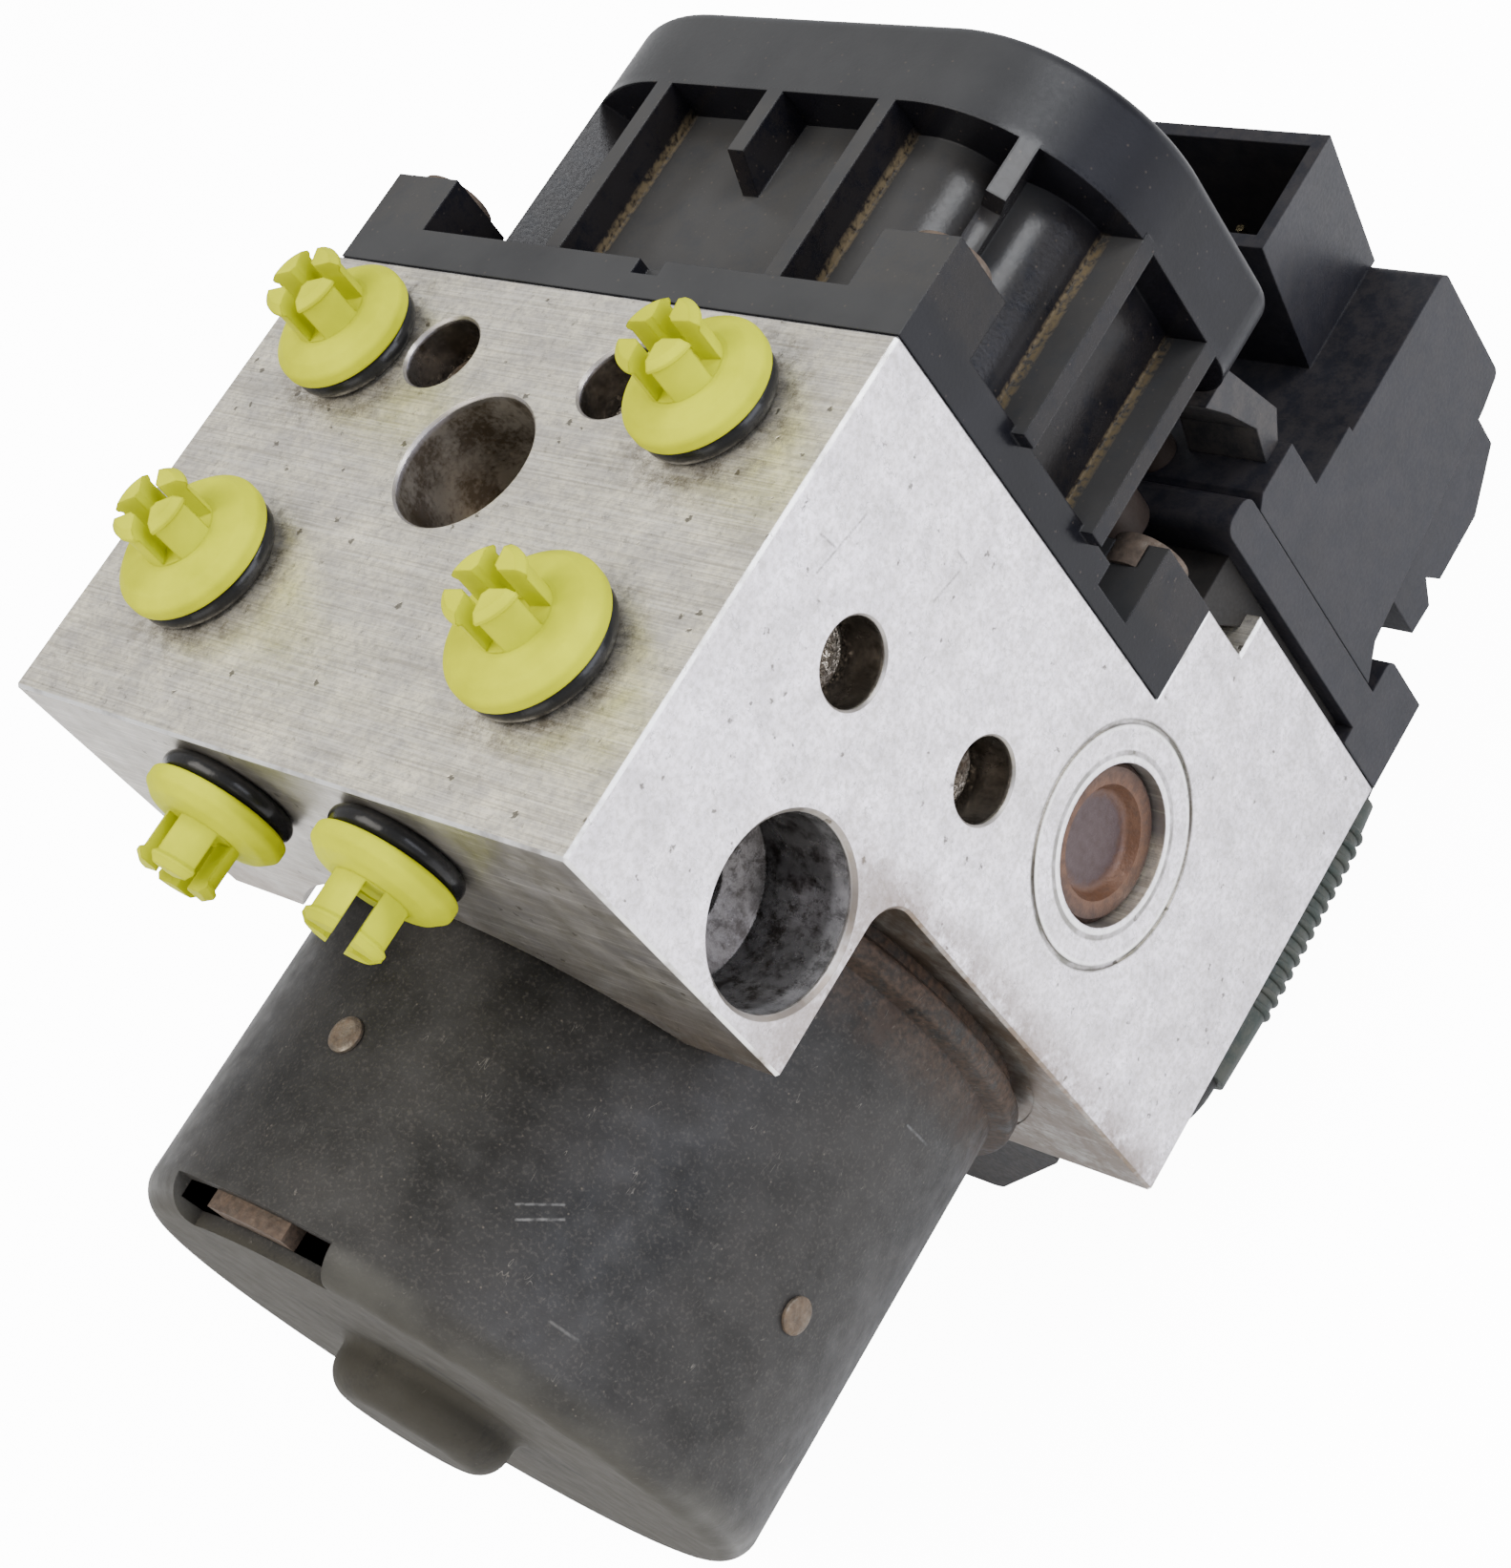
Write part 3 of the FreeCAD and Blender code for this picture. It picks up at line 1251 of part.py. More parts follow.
finish("lead_grommets", group(*grommets))

# Motor lead: boot under the block and the lead that runs to the controller's foot
boot = slab("XZ_Plane", [
    ("boot_left", "-seat_gap"),
    ("boot_right", "-seat_gap"),
    ("boot_right", "-2"),
    ("boot_left + 8", "-boot_drop"),
    ("boot_left", "-boot_drop"),
], "-boot_front", "boot_front - boot_rear", [(2, "3"), (3, "4")])
stem = rod("boot_stem_radius", "boot_stem_length", "boot_stem_x", "-boot_stem_y", "-1")


def route(points, radii):
    """A wire of straight runs joined by tangent arcs at the inner points."""
    corners = [FreeCAD.Vector(*point) for point in points]
    edges = []
    last = corners[0]
    for before, corner, after, radius in zip(corners, corners[1:], corners[2:], radii):
        back = (before - corner).normalize()
        ahead = (after - corner).normalize()
        half_turn = (math.pi - back.getAngle(ahead)) / 2
        reach = radius * math.tan(half_turn)
        start = corner + back * reach
        end = corner + ahead * reach
        middle = (back + ahead).normalize()
        inset = radius / math.cos(half_turn) - radius
        edges.append(Part.LineSegment(last, start).toShape())
        edges.append(Part.Arc(start, corner + middle * inset, end).toShape())
        last = end
    edges.append(Part.LineSegment(last, corners[-1]).toShape())
    return Part.Wire(edges)


def tube_along(wire, radius):
    start = wire.Edges[0]
    section = Part.Wire(Part.makeCircle(radius, start.valueAt(start.FirstParameter),
                                        start.tangentAt(start.FirstParameter)))
    solid = wire.makePipeShell([section], True, True)
    print("lead: length %.1f, volume %.0f, expected %.0f" % (
        wire.Length, solid.Volume, wire.Length * math.pi * radius * radius))
    return solid


LEAD = [(22, -34.5, -8), (45, -34.5, -3.9), (46, -12, -3.9), (45.5, 12, -3.9), (44, 27, -3.9), (44, 27, 8)]
bend = value("lead_bend")
lead_radii = [8.0, bend, bend, 5.3]
lead_wire = route(LEAD, lead_radii)
print("lead bends: " + ", ".join("%.1f" % radius for radius in lead_radii))
lead = doc.addObject("Part::Feature", "Lead")
lead.Shape = tube_along(lead_wire, value("lead_radius"))
finish("motor_lead", lead)

sleeve_start = FreeCAD.Vector(*LEAD[1]) + (FreeCAD.Vector(*LEAD[2]) - FreeCAD.Vector(*LEAD[1])) * 0.4
sleeve_end = FreeCAD.Vector(*LEAD[3]) + (FreeCAD.Vector(*LEAD[4]) - FreeCAD.Vector(*LEAD[3])) * 0.5
sleeve_wire = route([tuple(sleeve_start), LEAD[2], LEAD[3], tuple(sleeve_end)], [bend, bend])
sleeve = doc.addObject("Part::Feature", "Sleeve")
sleeve.Shape = tube_along(sleeve_wire, value("sleeve_radius")).cut(
    tube_along(sleeve_wire, value("lead_radius + running_gap")))
finish("lead_sleeve", sleeve)

boot_room = doc.addObject("Part::Feature", "BootRoom")
boot_room.Shape = tube_along(lead_wire, value("lead_radius + running_gap"))
finish("lead_boot", cut(join(boot, stem), boot_room))

# Check every object, then write each node to its own file. Everything above is laid out from the
# block's underside. The unit hangs from its bushes, so the files have the middle of the top bush bore
# as their origin.
origin = FreeCAD.Vector(
    value("-top_bore_x"), value("-top_bore_y"),
    value("block_height - (top_bore_length + small_mouth) / 2"))
doc.recompute()
for obj in doc.Objects:
    if "Invalid" in obj.State or "Error" in obj.State:
        raise ValueError("%s (%s) is in state %s" % (obj.Name, obj.Label, obj.State))
for name, obj in nodes.items():
    shape = obj.Shape.copy()
    shape.translate(-origin)
    if shape.isNull() or not shape.isValid() or not shape.Solids:
        raise ValueError("%s has no valid shape" % name)
    shape.exportStep("parts/%s.step" % name)
    box = shape.BoundBox
    print("%-26s solids %2d volume %9.1f  x %.1f..%.1f  y %.1f..%.1f  z %.1f..%.1f" % (
        name, len(shape.Solids), shape.Volume,
        box.XMin, box.XMax, box.YMin, box.YMax, box.ZMin, box.ZMax))
print("%d nodes written" % len(nodes))
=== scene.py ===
# %% [markdown]
# # Dressing a brake modulator
# The solids of this unit were drawn first, in millimetres, and come in as fixed meshes. What is left
# for Blender is what a camera sees: milled aluminium with oil in its corners, a dusty motor can,
# moulded plastic, yellow transport plugs, the ribbed sleeve of the motor lead, and light.

# %% Load the unit
import math

import bpy
from mathutils import Matrix, Vector


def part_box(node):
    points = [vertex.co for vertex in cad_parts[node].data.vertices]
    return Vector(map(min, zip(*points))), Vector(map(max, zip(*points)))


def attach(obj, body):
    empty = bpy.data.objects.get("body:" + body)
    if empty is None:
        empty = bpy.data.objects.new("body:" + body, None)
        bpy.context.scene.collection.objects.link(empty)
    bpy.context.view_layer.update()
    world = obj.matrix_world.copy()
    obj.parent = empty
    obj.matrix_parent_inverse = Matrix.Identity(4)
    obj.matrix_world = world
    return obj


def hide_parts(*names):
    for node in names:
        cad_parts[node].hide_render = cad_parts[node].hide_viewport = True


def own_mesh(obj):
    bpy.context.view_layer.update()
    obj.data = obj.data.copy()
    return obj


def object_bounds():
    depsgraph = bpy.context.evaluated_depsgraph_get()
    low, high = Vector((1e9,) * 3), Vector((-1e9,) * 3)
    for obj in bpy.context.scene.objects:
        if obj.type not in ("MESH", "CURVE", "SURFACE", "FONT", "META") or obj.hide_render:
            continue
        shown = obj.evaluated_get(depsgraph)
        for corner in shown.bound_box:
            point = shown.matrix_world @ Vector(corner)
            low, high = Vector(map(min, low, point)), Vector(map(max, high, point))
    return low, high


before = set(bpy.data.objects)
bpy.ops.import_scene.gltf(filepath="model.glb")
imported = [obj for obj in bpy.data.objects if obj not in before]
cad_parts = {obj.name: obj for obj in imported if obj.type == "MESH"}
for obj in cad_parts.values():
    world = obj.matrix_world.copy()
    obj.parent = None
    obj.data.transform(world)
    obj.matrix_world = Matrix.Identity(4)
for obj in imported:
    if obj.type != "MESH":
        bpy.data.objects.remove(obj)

UNIT_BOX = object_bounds()
# The unit was drawn from the middle of the block's underside; its files start in the top bush bore
DRAWN_FROM = Vector((1.1, 25.9, -106.85))


def placed(x, y, z):
    """A place in the drawing's millimetres as a place in the frame, in metres."""
    return (Vector((x, y, z)) + DRAWN_FROM) / 1000


# %% [markdown]
# ## The camera
# The view was worked out from the block itself: its straight edges and round ports give the place,
# the turn and the lens. The camera is set by three directions, its right, its up and the way back
# from the unit, so that it keeps the same roll as the photograph.

# %% Camera
RIGHT = Vector((0.7135, 0.5045, -0.4862))
UP = Vector((-0.1997, 0.8116, 0.5490))
BACK = Vector((0.6716, -0.2947, 0.6798))
EYE = placed(281.29, -149.30, 335.46)

lens = bpy.data.cameras.new("photo_lens")
lens.lens = 73.67
lens.sensor_width = 36.0
lens.clip_start = 0.01
camera = bpy.data.objects.new("photo_camera", lens)
bpy.context.scene.collection.objects.link(camera)
turn = Matrix((RIGHT, UP, BACK)).transposed().to_4x4()
camera.matrix_world = Matrix.Translation(EYE) @ turn
bpy.context.scene.camera = camera
print("camera %.3f m from the origin" % EYE.length)

# %% [markdown]
# ## Light
# The photograph is lit by a large cool light beyond the unit's right side, a warm one above its front
# and a faint one before it. A small light behind it, high on the right, draws the bright lines on the
# plastic's edges and the streaks in the hood's pockets. A pale world fills the rest, so that metal has
# something bright to mirror.


# %% Lights
def lamp(name, place, size, power, colour):
    """A square area light at a place, turned towards the middle of the unit."""
    light = bpy.data.lights.new(name, "AREA")
    light.size = size
    light.energy = power
    light.color = colour
    holder = bpy.data.objects.new(name, light)
    holder.location = placed(*place)
    holder.rotation_euler = (MIDDLE - holder.location).to_track_quat("-Z", "Y").to_euler()
    bpy.context.scene.collection.objects.link(holder)
    return holder


MIDDLE = placed(0, -20, 60)
lamp("window_right", (750, 100, 420), 0.55, 7.4, (0.84, 0.87, 1.0))
lamp("panel_above", (-150, -350, 850), 0.60, 10.0, (1.0, 0.96, 0.90))
lamp("panel_front", (250, -850, 250), 0.50, 2.0, (1.0, 0.97, 0.93))
lamp("edge_light", (330, 330, 600), 0.22, 3.0, (0.95, 0.97, 1.0))
world = bpy.data.worlds.new("pale_room")
world.use_nodes = True
room = world.node_tree.nodes["Background"]
room.inputs["Color"].default_value = (0.93, 0.95, 1.0, 1.0)
room.inputs["Strength"].default_value = 0.9
bpy.context.scene.world = world

# %% [markdown]
# ## Building materials in code
# A material is a small tree of nodes. A few helpers keep it readable: one adds a node and wires its
# inputs, one mixes two colours by a mask, one turns a value into a mask between two limits, and two
# join masks. Patterns are laid out in millimetres, so a scale of 1 repeats about every millimetre.


# %% Node helpers
def add(tree, kind, inputs=None, **settings):
    """Add a node, set what it does and wire or set its inputs."""
    node = tree.nodes.new("ShaderNode" + kind)
    for name, setting in settings.items():
        setattr(node, name, setting)
    for name, given in (inputs or {}).items():
        socket = node.inputs[name]
        if isinstance(given, bpy.types.NodeSocket):
            tree.links.new(given, socket)
        else:
            socket.default_value = given
    return node


def blend(tree, mask, low, high):
    """Low colour where the mask is 0, high colour where it is 1."""
    return add(tree, "Mix", {0: mask, 6: low, 7: high}, data_type="RGBA").outputs[2]


def between(tree, source, low, high, start=0.0, end=1.0):
    """A mask that rises from start to end while the source goes from low to high."""
    return add(tree, "MapRange", {0: source, 1: low, 2: high, 3: start, 4: end}).outputs[0]


def count(tree, operation, first, second=0.0):
    """One step of arithmetic."""
    return add(tree, "Math", {0: first, 1: second}, operation=operation).outputs[0]


def both(tree, first, second):
    """A mask where both masks are, or a mask with its strength."""
    return count(tree, "MULTIPLY", first, second)


def either(tree, first, second):
    """A mask where one of two masks is; the first may be missing."""
    return second if first is None else count(tree, "MAXIMUM", first, second)


def vector(tree, operation, first, second=(0.0, 0.0, 0.0)):
    """One step of vector arithmetic; a length or a dot product comes out as a number."""
    node = add(tree, "VectorMath", {0: first, 1: second}, operation=operation)
    return node.outputs["Value" if operation in ("LENGTH", "DOT_PRODUCT") else "Vector"]


def stretch(tree, point, factors):
    """The point with each direction multiplied, which draws a pattern out along the small ones."""
    return vector(tree, "MULTIPLY", point, factors)


def off_axis(tree, point, centre, plane):
    """How far the point lies from the line through the centre that stands square on the plane."""
    return vector(tree, "LENGTH", stretch(tree, vector(tree, "SUBTRACT", point, centre), plane))


def parts(tree, source):
    """The X, Y and Z outputs of a vector."""
    return add(tree, "SeparateXYZ", {0: source}).outputs


def outward(tree):
    """The direction in which the surface looks, as a vector."""
    return add(tree, "TexCoord").outputs["Normal"]


def cloud(tree, point, scale, detail=4.0, roughness=0.55):
    """Soft noise about the given scale, with a mean near one half."""
    return add(tree, "TexNoise", {"Vector": point, "Scale": scale, "Detail": detail,
                                  "Roughness": roughness}).outputs[0]


def rounded(tree, radius):
    """A normal that rounds every edge of the piece by a radius in metres, as moulding and milling do."""
    return add(tree, "Bevel", {"Radius": radius}, samples=2).outputs[0]


def millimetres(tree):
    """Object coordinates in the drawing's millimetres."""
    place = add(tree, "TexCoord").outputs["Object"]
    scaled = add(tree, "VectorMath", {0: place, "Scale": 1000.0}, operation="SCALE").outputs[0]
    return vector(tree, "SUBTRACT", scaled, DRAWN_FROM)


print("helpers ready")

# %% [markdown]
# ## The floor
# A plain pale floor lies under the lowest piece.
# The photograph's ground is blown out to white. To the camera the floor therefore glows, while to the
# metal it is only a pale sheet, so that the reflections keep their depth.


# %% Floor
def plain_mesh(name, points, faces):
    """A new object from points in metres and faces."""
    mesh = bpy.data.meshes.new(name)
    mesh.from_pydata(points, [], faces)
    mesh.update()
    piece = bpy.data.objects.new(name, mesh)
    bpy.context.scene.collection.objects.link(piece)
    return piece


FLOOR_GAP = 0.0002
FLOOR_REACH = 6
floor_z = UNIT_BOX[0][2] - FLOOR_GAP
corners = [(x * FLOOR_REACH, y * FLOOR_REACH, floor_z) for x, y in ((-1, -1), (1, -1), (1, 1), (-1, 1))]
floor = plain_mesh("floor", corners, [(0, 1, 2, 3)])
paper = bpy.data.materials.new("floor_white")
paper.use_nodes = True
tree = paper.node_tree
coat = tree.nodes["Principled BSDF"]
coat.inputs["Base Color"].default_value = (0.90, 0.90, 0.90, 1)
coat.inputs["Roughness"].default_value = 0.9
coat.inputs["Emission Color"].default_value = (1.0, 1.0, 1.0, 1)
GLOW_FOR_METAL, GLOW_FOR_CAMERA = 0.35, 12.0
seen = add(tree, "LightPath").outputs["Is Camera Ray"]
glow = between(tree, seen, 0.0, 1.0, GLOW_FOR_METAL, GLOW_FOR_CAMERA)
tree.links.new(glow, coat.inputs["Emission Strength"])
floor.data.materials.append(paper)
print("floor at %.1f mm" % (floor_z * 1000))

# %% [markdown]
# ## Effects that more than one finish needs
# Fine scratches, dirt specks, grime patches and round stains turn up on the block, the can and the
# plastic alike. Each is a node group with named inputs, built once and placed with its own values.
# Round stains and thin rings come first: both measure how far a point lies from an axis.


# %% Round marks
FLOAT = "NodeSocketFloat"
VECTOR = "NodeSocketVector"


def effect(name, *sockets):
    """A new node group that puts out a mask, and its input and output nodes."""
    group = bpy.data.node_groups.new(name, "ShaderNodeTree")
    for label, kind, value in sockets:
        socket = group.interface.new_socket(label, in_out="INPUT", socket_type=kind)
        socket.default_value = value
    group.interface.new_socket("Mask", in_out="OUTPUT", socket_type=FLOAT)
    return group, group.nodes.new("NodeGroupInput"), group.nodes.new("NodeGroupOutput")


def place_effect(tree, group, **values):
    """Put an effect into a material with its own values; returns its mask."""
    node = tree.nodes.new("ShaderNodeGroup")
    node.node_tree = group
    for label, given in values.items():
        socket = node.inputs[label.replace("_", " ")]
        if isinstance(given, bpy.types.NodeSocket):
            tree.links.new(given, socket)
        else:
            socket.default_value = given
    return node.outputs[0]


# 1 inside a radius about an axis through the centre, kept to the plane's directions
round_spot, start, end = effect(
    "round spot",
    ("Point", VECTOR, (0, 0, 0)), ("Centre", VECTOR, (0, 0, 0)), ("Plane", VECTOR, (1, 1, 0)),
    ("Radius", FLOAT, 5.0), ("Soft", FLOAT, 0.3))
given = start.outputs
reach = off_axis(round_spot, given["Point"], given["Centre"], given["Plane"])
outer = count(round_spot, "ADD", given["Radius"], given["Soft"])
round_spot.links.new(between(round_spot, reach, outer, given["Radius"]), end.inputs["Mask"])

# 1 on a thin circle about an axis through the centre
ring_line, start, end = effect(
    "ring line",
    ("Point", VECTOR, (0, 0, 0)), ("Centre", VECTOR, (0, 0, 0)), ("Plane", VECTOR, (0, 1, 1)),
    ("Radius", FLOAT, 5.0), ("Width", FLOAT, 0.2), ("Soft", FLOAT, 0.2))
given = start.outputs
reach = off_axis(ring_line, given["Point"], given["Centre"], given["Plane"])
away = count(ring_line, "ABSOLUTE", count(ring_line, "SUBTRACT", reach, given["Radius"]))
outer = count(ring_line, "ADD", given["Width"], given["Soft"])
ring_line.links.new(between(ring_line, away, outer, given["Width"]), end.inputs["Mask"])
print("round marks:", [group.name for group in bpy.data.node_groups])

# %% [markdown]
# ## Lines of wear
# Wear comes as lines. Scratches are the thin ridges of a noise that is drawn out along one direction,
# broken up by a second noise. A stroke is one straight mark whose start and run are given, for the
# marks that stand in a known place.


# %% Scratches and strokes
# Thin broken lines along one direction of the given point
scratches, start, end = effect(
    "scratches",
    ("Point", VECTOR, (0, 0, 0)), ("Turn", VECTOR, (0, 0, 0)), ("Density", FLOAT, 0.5),
    ("Width", FLOAT, 0.02))
turned = add(scratches, "VectorRotate", {"Vector": start.outputs["Point"], "Rotation": start.outputs["Turn"]},
             rotation_type="EULER_XYZ").outputs[0]
lines = cloud(scratches, stretch(scratches, turned, (0.03, 1.1, 1.1)), 1.0, 1.0)
ridge = count(scratches, "ABSOLUTE", count(scratches, "SUBTRACT", lines, 0.5))
thin = between(scratches, ridge, start.outputs["Width"], 0.0)
broken = cloud(scratches, turned, 0.35, 2.0)
gate = count(scratches, "SUBTRACT", 1.0, start.outputs["Density"])
kept = between(scratches, broken, gate, count(scratches, "ADD", gate, 0.08))
scratches.links.new(both(scratches, thin, kept), end.inputs["Mask"])

# 1 along a straight mark from a start, as far and in the direction that Along says
stroke, start, end = effect(
    "stroke",
    ("Point", VECTOR, (0, 0, 0)), ("Start", VECTOR, (0, 0, 0)), ("Along", VECTOR, (1, 0, 0)),
    ("Width", FLOAT, 0.2), ("Soft", FLOAT, 0.1))
given = start.outputs
offset = vector(stroke, "SUBTRACT", given["Point"], given["Start"])
run = vector(stroke, "DOT_PRODUCT", offset, given["Along"])
whole = vector(stroke, "DOT_PRODUCT", given["Along"], given["Along"])
share = between(stroke, count(stroke, "DIVIDE", run, whole), 0.0, 1.0)
nearest = add(stroke, "VectorMath", {0: given["Along"], "Scale": share}, operation="SCALE").outputs[0]
away = vector(stroke, "LENGTH", vector(stroke, "SUBTRACT", offset, nearest))
edge = count(stroke, "ADD", given["Width"], given["Soft"])
stroke.links.new(between(stroke, away, edge, given["Width"]), end.inputs["Mask"])
print("line marks:", [group.name for group in bpy.data.node_groups][-2:])

# %% [markdown]
# ## Dots and patches of dirt
# Dirt comes as dots and patches. Specks are the middles of Voronoi cells, some left out by the cell's
# own colour. Grime is a large noise whose border is frayed by a fine one.


# %% Specks and grime
# Scattered small dots, some left out
specks, start, end = effect(
    "specks",
    ("Point", VECTOR, (0, 0, 0)), ("Scale", FLOAT, 1.0), ("Size", FLOAT, 0.15),
    ("Share", FLOAT, 0.5))
cells = add(specks, "TexVoronoi", {"Vector": start.outputs["Point"], "Scale": start.outputs["Scale"]})
dot = between(specks, cells.outputs["Distance"], start.outputs["Size"], 0.0)
lot = add(specks, "SeparateColor", {0: cells.outputs["Color"]}).outputs[0]
chosen = count(specks, "LESS_THAN", lot, start.outputs["Share"])
specks.links.new(both(specks, dot, chosen), end.inputs["Mask"])

# Soft patches broken up by a finer cloud
grime, start, end = effect(
    "grime",
    ("Point", VECTOR, (0, 0, 0)), ("Scale", FLOAT, 0.1), ("Amount", FLOAT, 0.5))
large = cloud(grime, start.outputs["Point"], start.outputs["Scale"], 5.0, 0.62)
fine = cloud(grime, start.outputs["Point"], both(grime, start.outputs["Scale"], 9.0), 3.0)
mixed = count(grime, "ADD", both(grime, large, 0.72), both(grime, fine, 0.28))
limit = count(grime, "SUBTRACT", 1.0, start.outputs["Amount"])
grime.links.new(between(grime, mixed, count(grime, "SUBTRACT", limit, 0.07),
                        count(grime, "ADD", limit, 0.07)), end.inputs["Mask"])
print("effects:", [group.name for group in bpy.data.node_groups])

# %% [markdown]
# ## Starting a finish
# Every finish starts the same way: a new material, its shader, and the point in millimetres that all
# its patterns read.


# %% New finish
def new_finish(name, metallic=0.0):
    """A material with a plain Principled shader; returns it, its tree, its shader and the point."""
    material = bpy.data.materials.new(name)
    material.use_nodes = True
    tree = material.node_tree
    shader = tree.nodes["Principled BSDF"]
    shader.inputs["Metallic"].default_value = metallic
    return material, tree, shader, millimetres(tree)


def feed(tree, shader, **sources):
    """Wire sources into the shader's sockets by name."""
    for name, source in sources.items():
        tree.links.new(source, shader.inputs[name.replace("_", " ")])


def bump(tree, height, distance, strength=1.0, normal=None):
    """Turn a height in units of the distance, in metres, into a normal."""
    node = add(tree, "Bump", {"Height": height, "Distance": distance, "Strength": strength})
    if normal:
        tree.links.new(normal, node.inputs["Normal"])
    return node.outputs[0]


print("starting point ready")

# %% [markdown]
# ## Milled aluminium
# The block is one piece of aluminium, painted in three tones that stand for light and shade: the top is
# painted warm, standing for the warm light above, and is milled in fine lines; the right side is painted
# bright and cold, standing for the cool light from the right, and carries cloudy scratches; the front is
# painted a darker beige as painted shade. The face is told from the direction its surface looks in, so no
# face has to be cut out of the mesh.

# %% Block: painted light and shade for each face
BLOCK_TOP = 119.0
HALF_WIDTH = 50.0
PORTS = [(31.0, -13.0), (-31.0, -13.0), (30.0, -47.2), (-30.0, -47.2)]
TOP_BORE = (-1.1, -25.9, 0)
SIDE_BORE = (0, -55.7, 86.8)
PUMP_CENTRE = (0, -17.4, 42.6)
FACING = (0.75, 0.85)

block, tree, shader, point = new_finish("milled_block", 0.86)
looks = parts(tree, outward(tree))
where = parts(tree, point)
top_face = between(tree, looks[2], *FACING)
side_face = between(tree, count(tree, "ABSOLUTE", looks[0]), *FACING)
front_face = between(tree, both(tree, looks[1], -1.0), *FACING)

# Painted light and shade: one metal gets a tone per face, bright and cool on the sides, warm on the top, dark
# on the front and on the faces that look elsewhere.
tone = blend(tree, side_face, (0.24, 0.215, 0.18, 1), (0.97, 0.92, 1.0, 1))
tone = blend(tree, top_face, tone, (0.90, 0.83, 0.65, 1))
tone = blend(tree, front_face, tone, (0.23, 0.215, 0.18, 1))

# Slow and fine clouds over all of it
stain = place_effect(tree, grime, Point=point, Scale=0.06, Amount=0.5)
tone = blend(tree, both(tree, stain, 0.24), tone, (0.40, 0.365, 0.31, 1))
veil = between(tree, cloud(tree, point, 0.16, 7.0, 0.72), 0.40, 0.60)
tone = blend(tree, both(tree, veil, 0.50), tone, (0.40, 0.38, 0.39, 1))
mottle = between(tree, cloud(tree, point, 1.1, 6.0, 0.7), 0.44, 0.60)
tone = blend(tree, both(tree, mottle, 0.50), tone, (0.36, 0.335, 0.31, 1))
print("block so far:", len(tree.nodes), "nodes")

# %% [markdown]
# ## Mill lines and scratches
# The milling cutter has left fine lines along the width, on the top and more faintly on the front. They
# are noise drawn out along X, laid on once as dark lines and once as bright ones. The sides carry
# scratches that run any way.

# %% Block: mill lines and scratches
fine_mill = cloud(tree, stretch(tree, point, (0.07, 4.2, 4.2)), 1.0, 3.0)
broad_mill = cloud(tree, stretch(tree, point, (0.03, 1.3, 1.3)), 1.0, 4.0)
mill = count(tree, "ADD", both(tree, fine_mill, 0.7), both(tree, broad_mill, 0.3))
cut_faces = either(tree, top_face, both(tree, front_face, 0.6))
half_strength = both(tree, cut_faces, 0.50)
dark_lines = both(tree, between(tree, mill, 0.50, 0.38), half_strength)
tone = blend(tree, dark_lines, tone, (0.34, 0.305, 0.235, 1))
bright_lines = both(tree, between(tree, mill, 0.52, 0.64), half_strength)
tone = blend(tree, bright_lines, tone, (0.88, 0.84, 0.74, 1))

scuffs = None
for turn_about in ((0.75, 0.0, 0.0), (0.95, 0.1, 0.1), (-0.6, 0.1, 0.9)):
    lines = place_effect(tree, scratches, Point=stretch(tree, point, (1.0, 1.3, 0.9)),
                         Turn=turn_about, Density=0.44, Width=0.022)
    scuffs = either(tree, scuffs, lines)
scuffs = both(tree, scuffs, side_face)
tone = blend(tree, both(tree, scuffs, 0.75), tone, (0.30, 0.29, 0.30, 1))
print("block so far:", len(tree.nodes), "nodes")

# %% [markdown]
# ## Pits, gouges and flecks
# Small pits are scattered over the block. Four short gouges stand on the right side where the
# photograph has them, and dark flecks are kept mostly to the top.

# %% Block: pits, gouges and flecks
wobble = add(tree, "TexNoise", {"Vector": point, "Scale": 1.6, "Detail": 3.0}).outputs["Color"]
ragged = vector(tree, "ADD", stretch(tree, wobble, (1.3, 1.3, 1.3)), point)
pits = place_effect(tree, specks, Point=ragged, Scale=0.42, Size=0.22, Share=0.16)
pits = between(tree, pits, 0.05, 0.35)
marks = pits
GOUGES = [
    ((HALF_WIDTH, -10.3, 93.5), (0, 0.0, -2.2)),
    ((HALF_WIDTH, -11.9, 91.6), (0, -4.8, 1.0)),
    ((HALF_WIDTH, -16.9, 108.8), (0, -9.1, 1.6)),
    ((HALF_WIDTH, -22.7, 113.0), (0, 0.4, -3.0)),
]
broken = between(tree, fine_mill, 0.35, 0.6, 0.2, 0.8)
for spot, run in GOUGES:
    gouge = place_effect(tree, stroke, Point=point, Start=spot, Along=run, Width=0.05, Soft=0.22)
    marks = either(tree, marks, both(tree, gouge, broken))
flecks = place_effect(tree, grime, Point=point, Scale=0.8, Amount=0.36)
marks = either(tree, marks, both(tree, flecks, between(tree, top_face, 0.0, 1.0, 0.15, 1.0)))
tone = blend(tree, both(tree, marks, 0.80), tone, (0.085, 0.075, 0.055, 1))
print("gouges:", len(GOUGES))

# %% [markdown]
# ## Rings and dirt
# Round marks belong to the work done on the block: a staked lip and a caulked groove lie round each pump
# plug, each a dark line of painted shade with a pale line of painted highlight beside it. Oil has caught dirt
# beside the ports, thicker on the side away from the window light, and brown dirt lies on the front below the
# step.

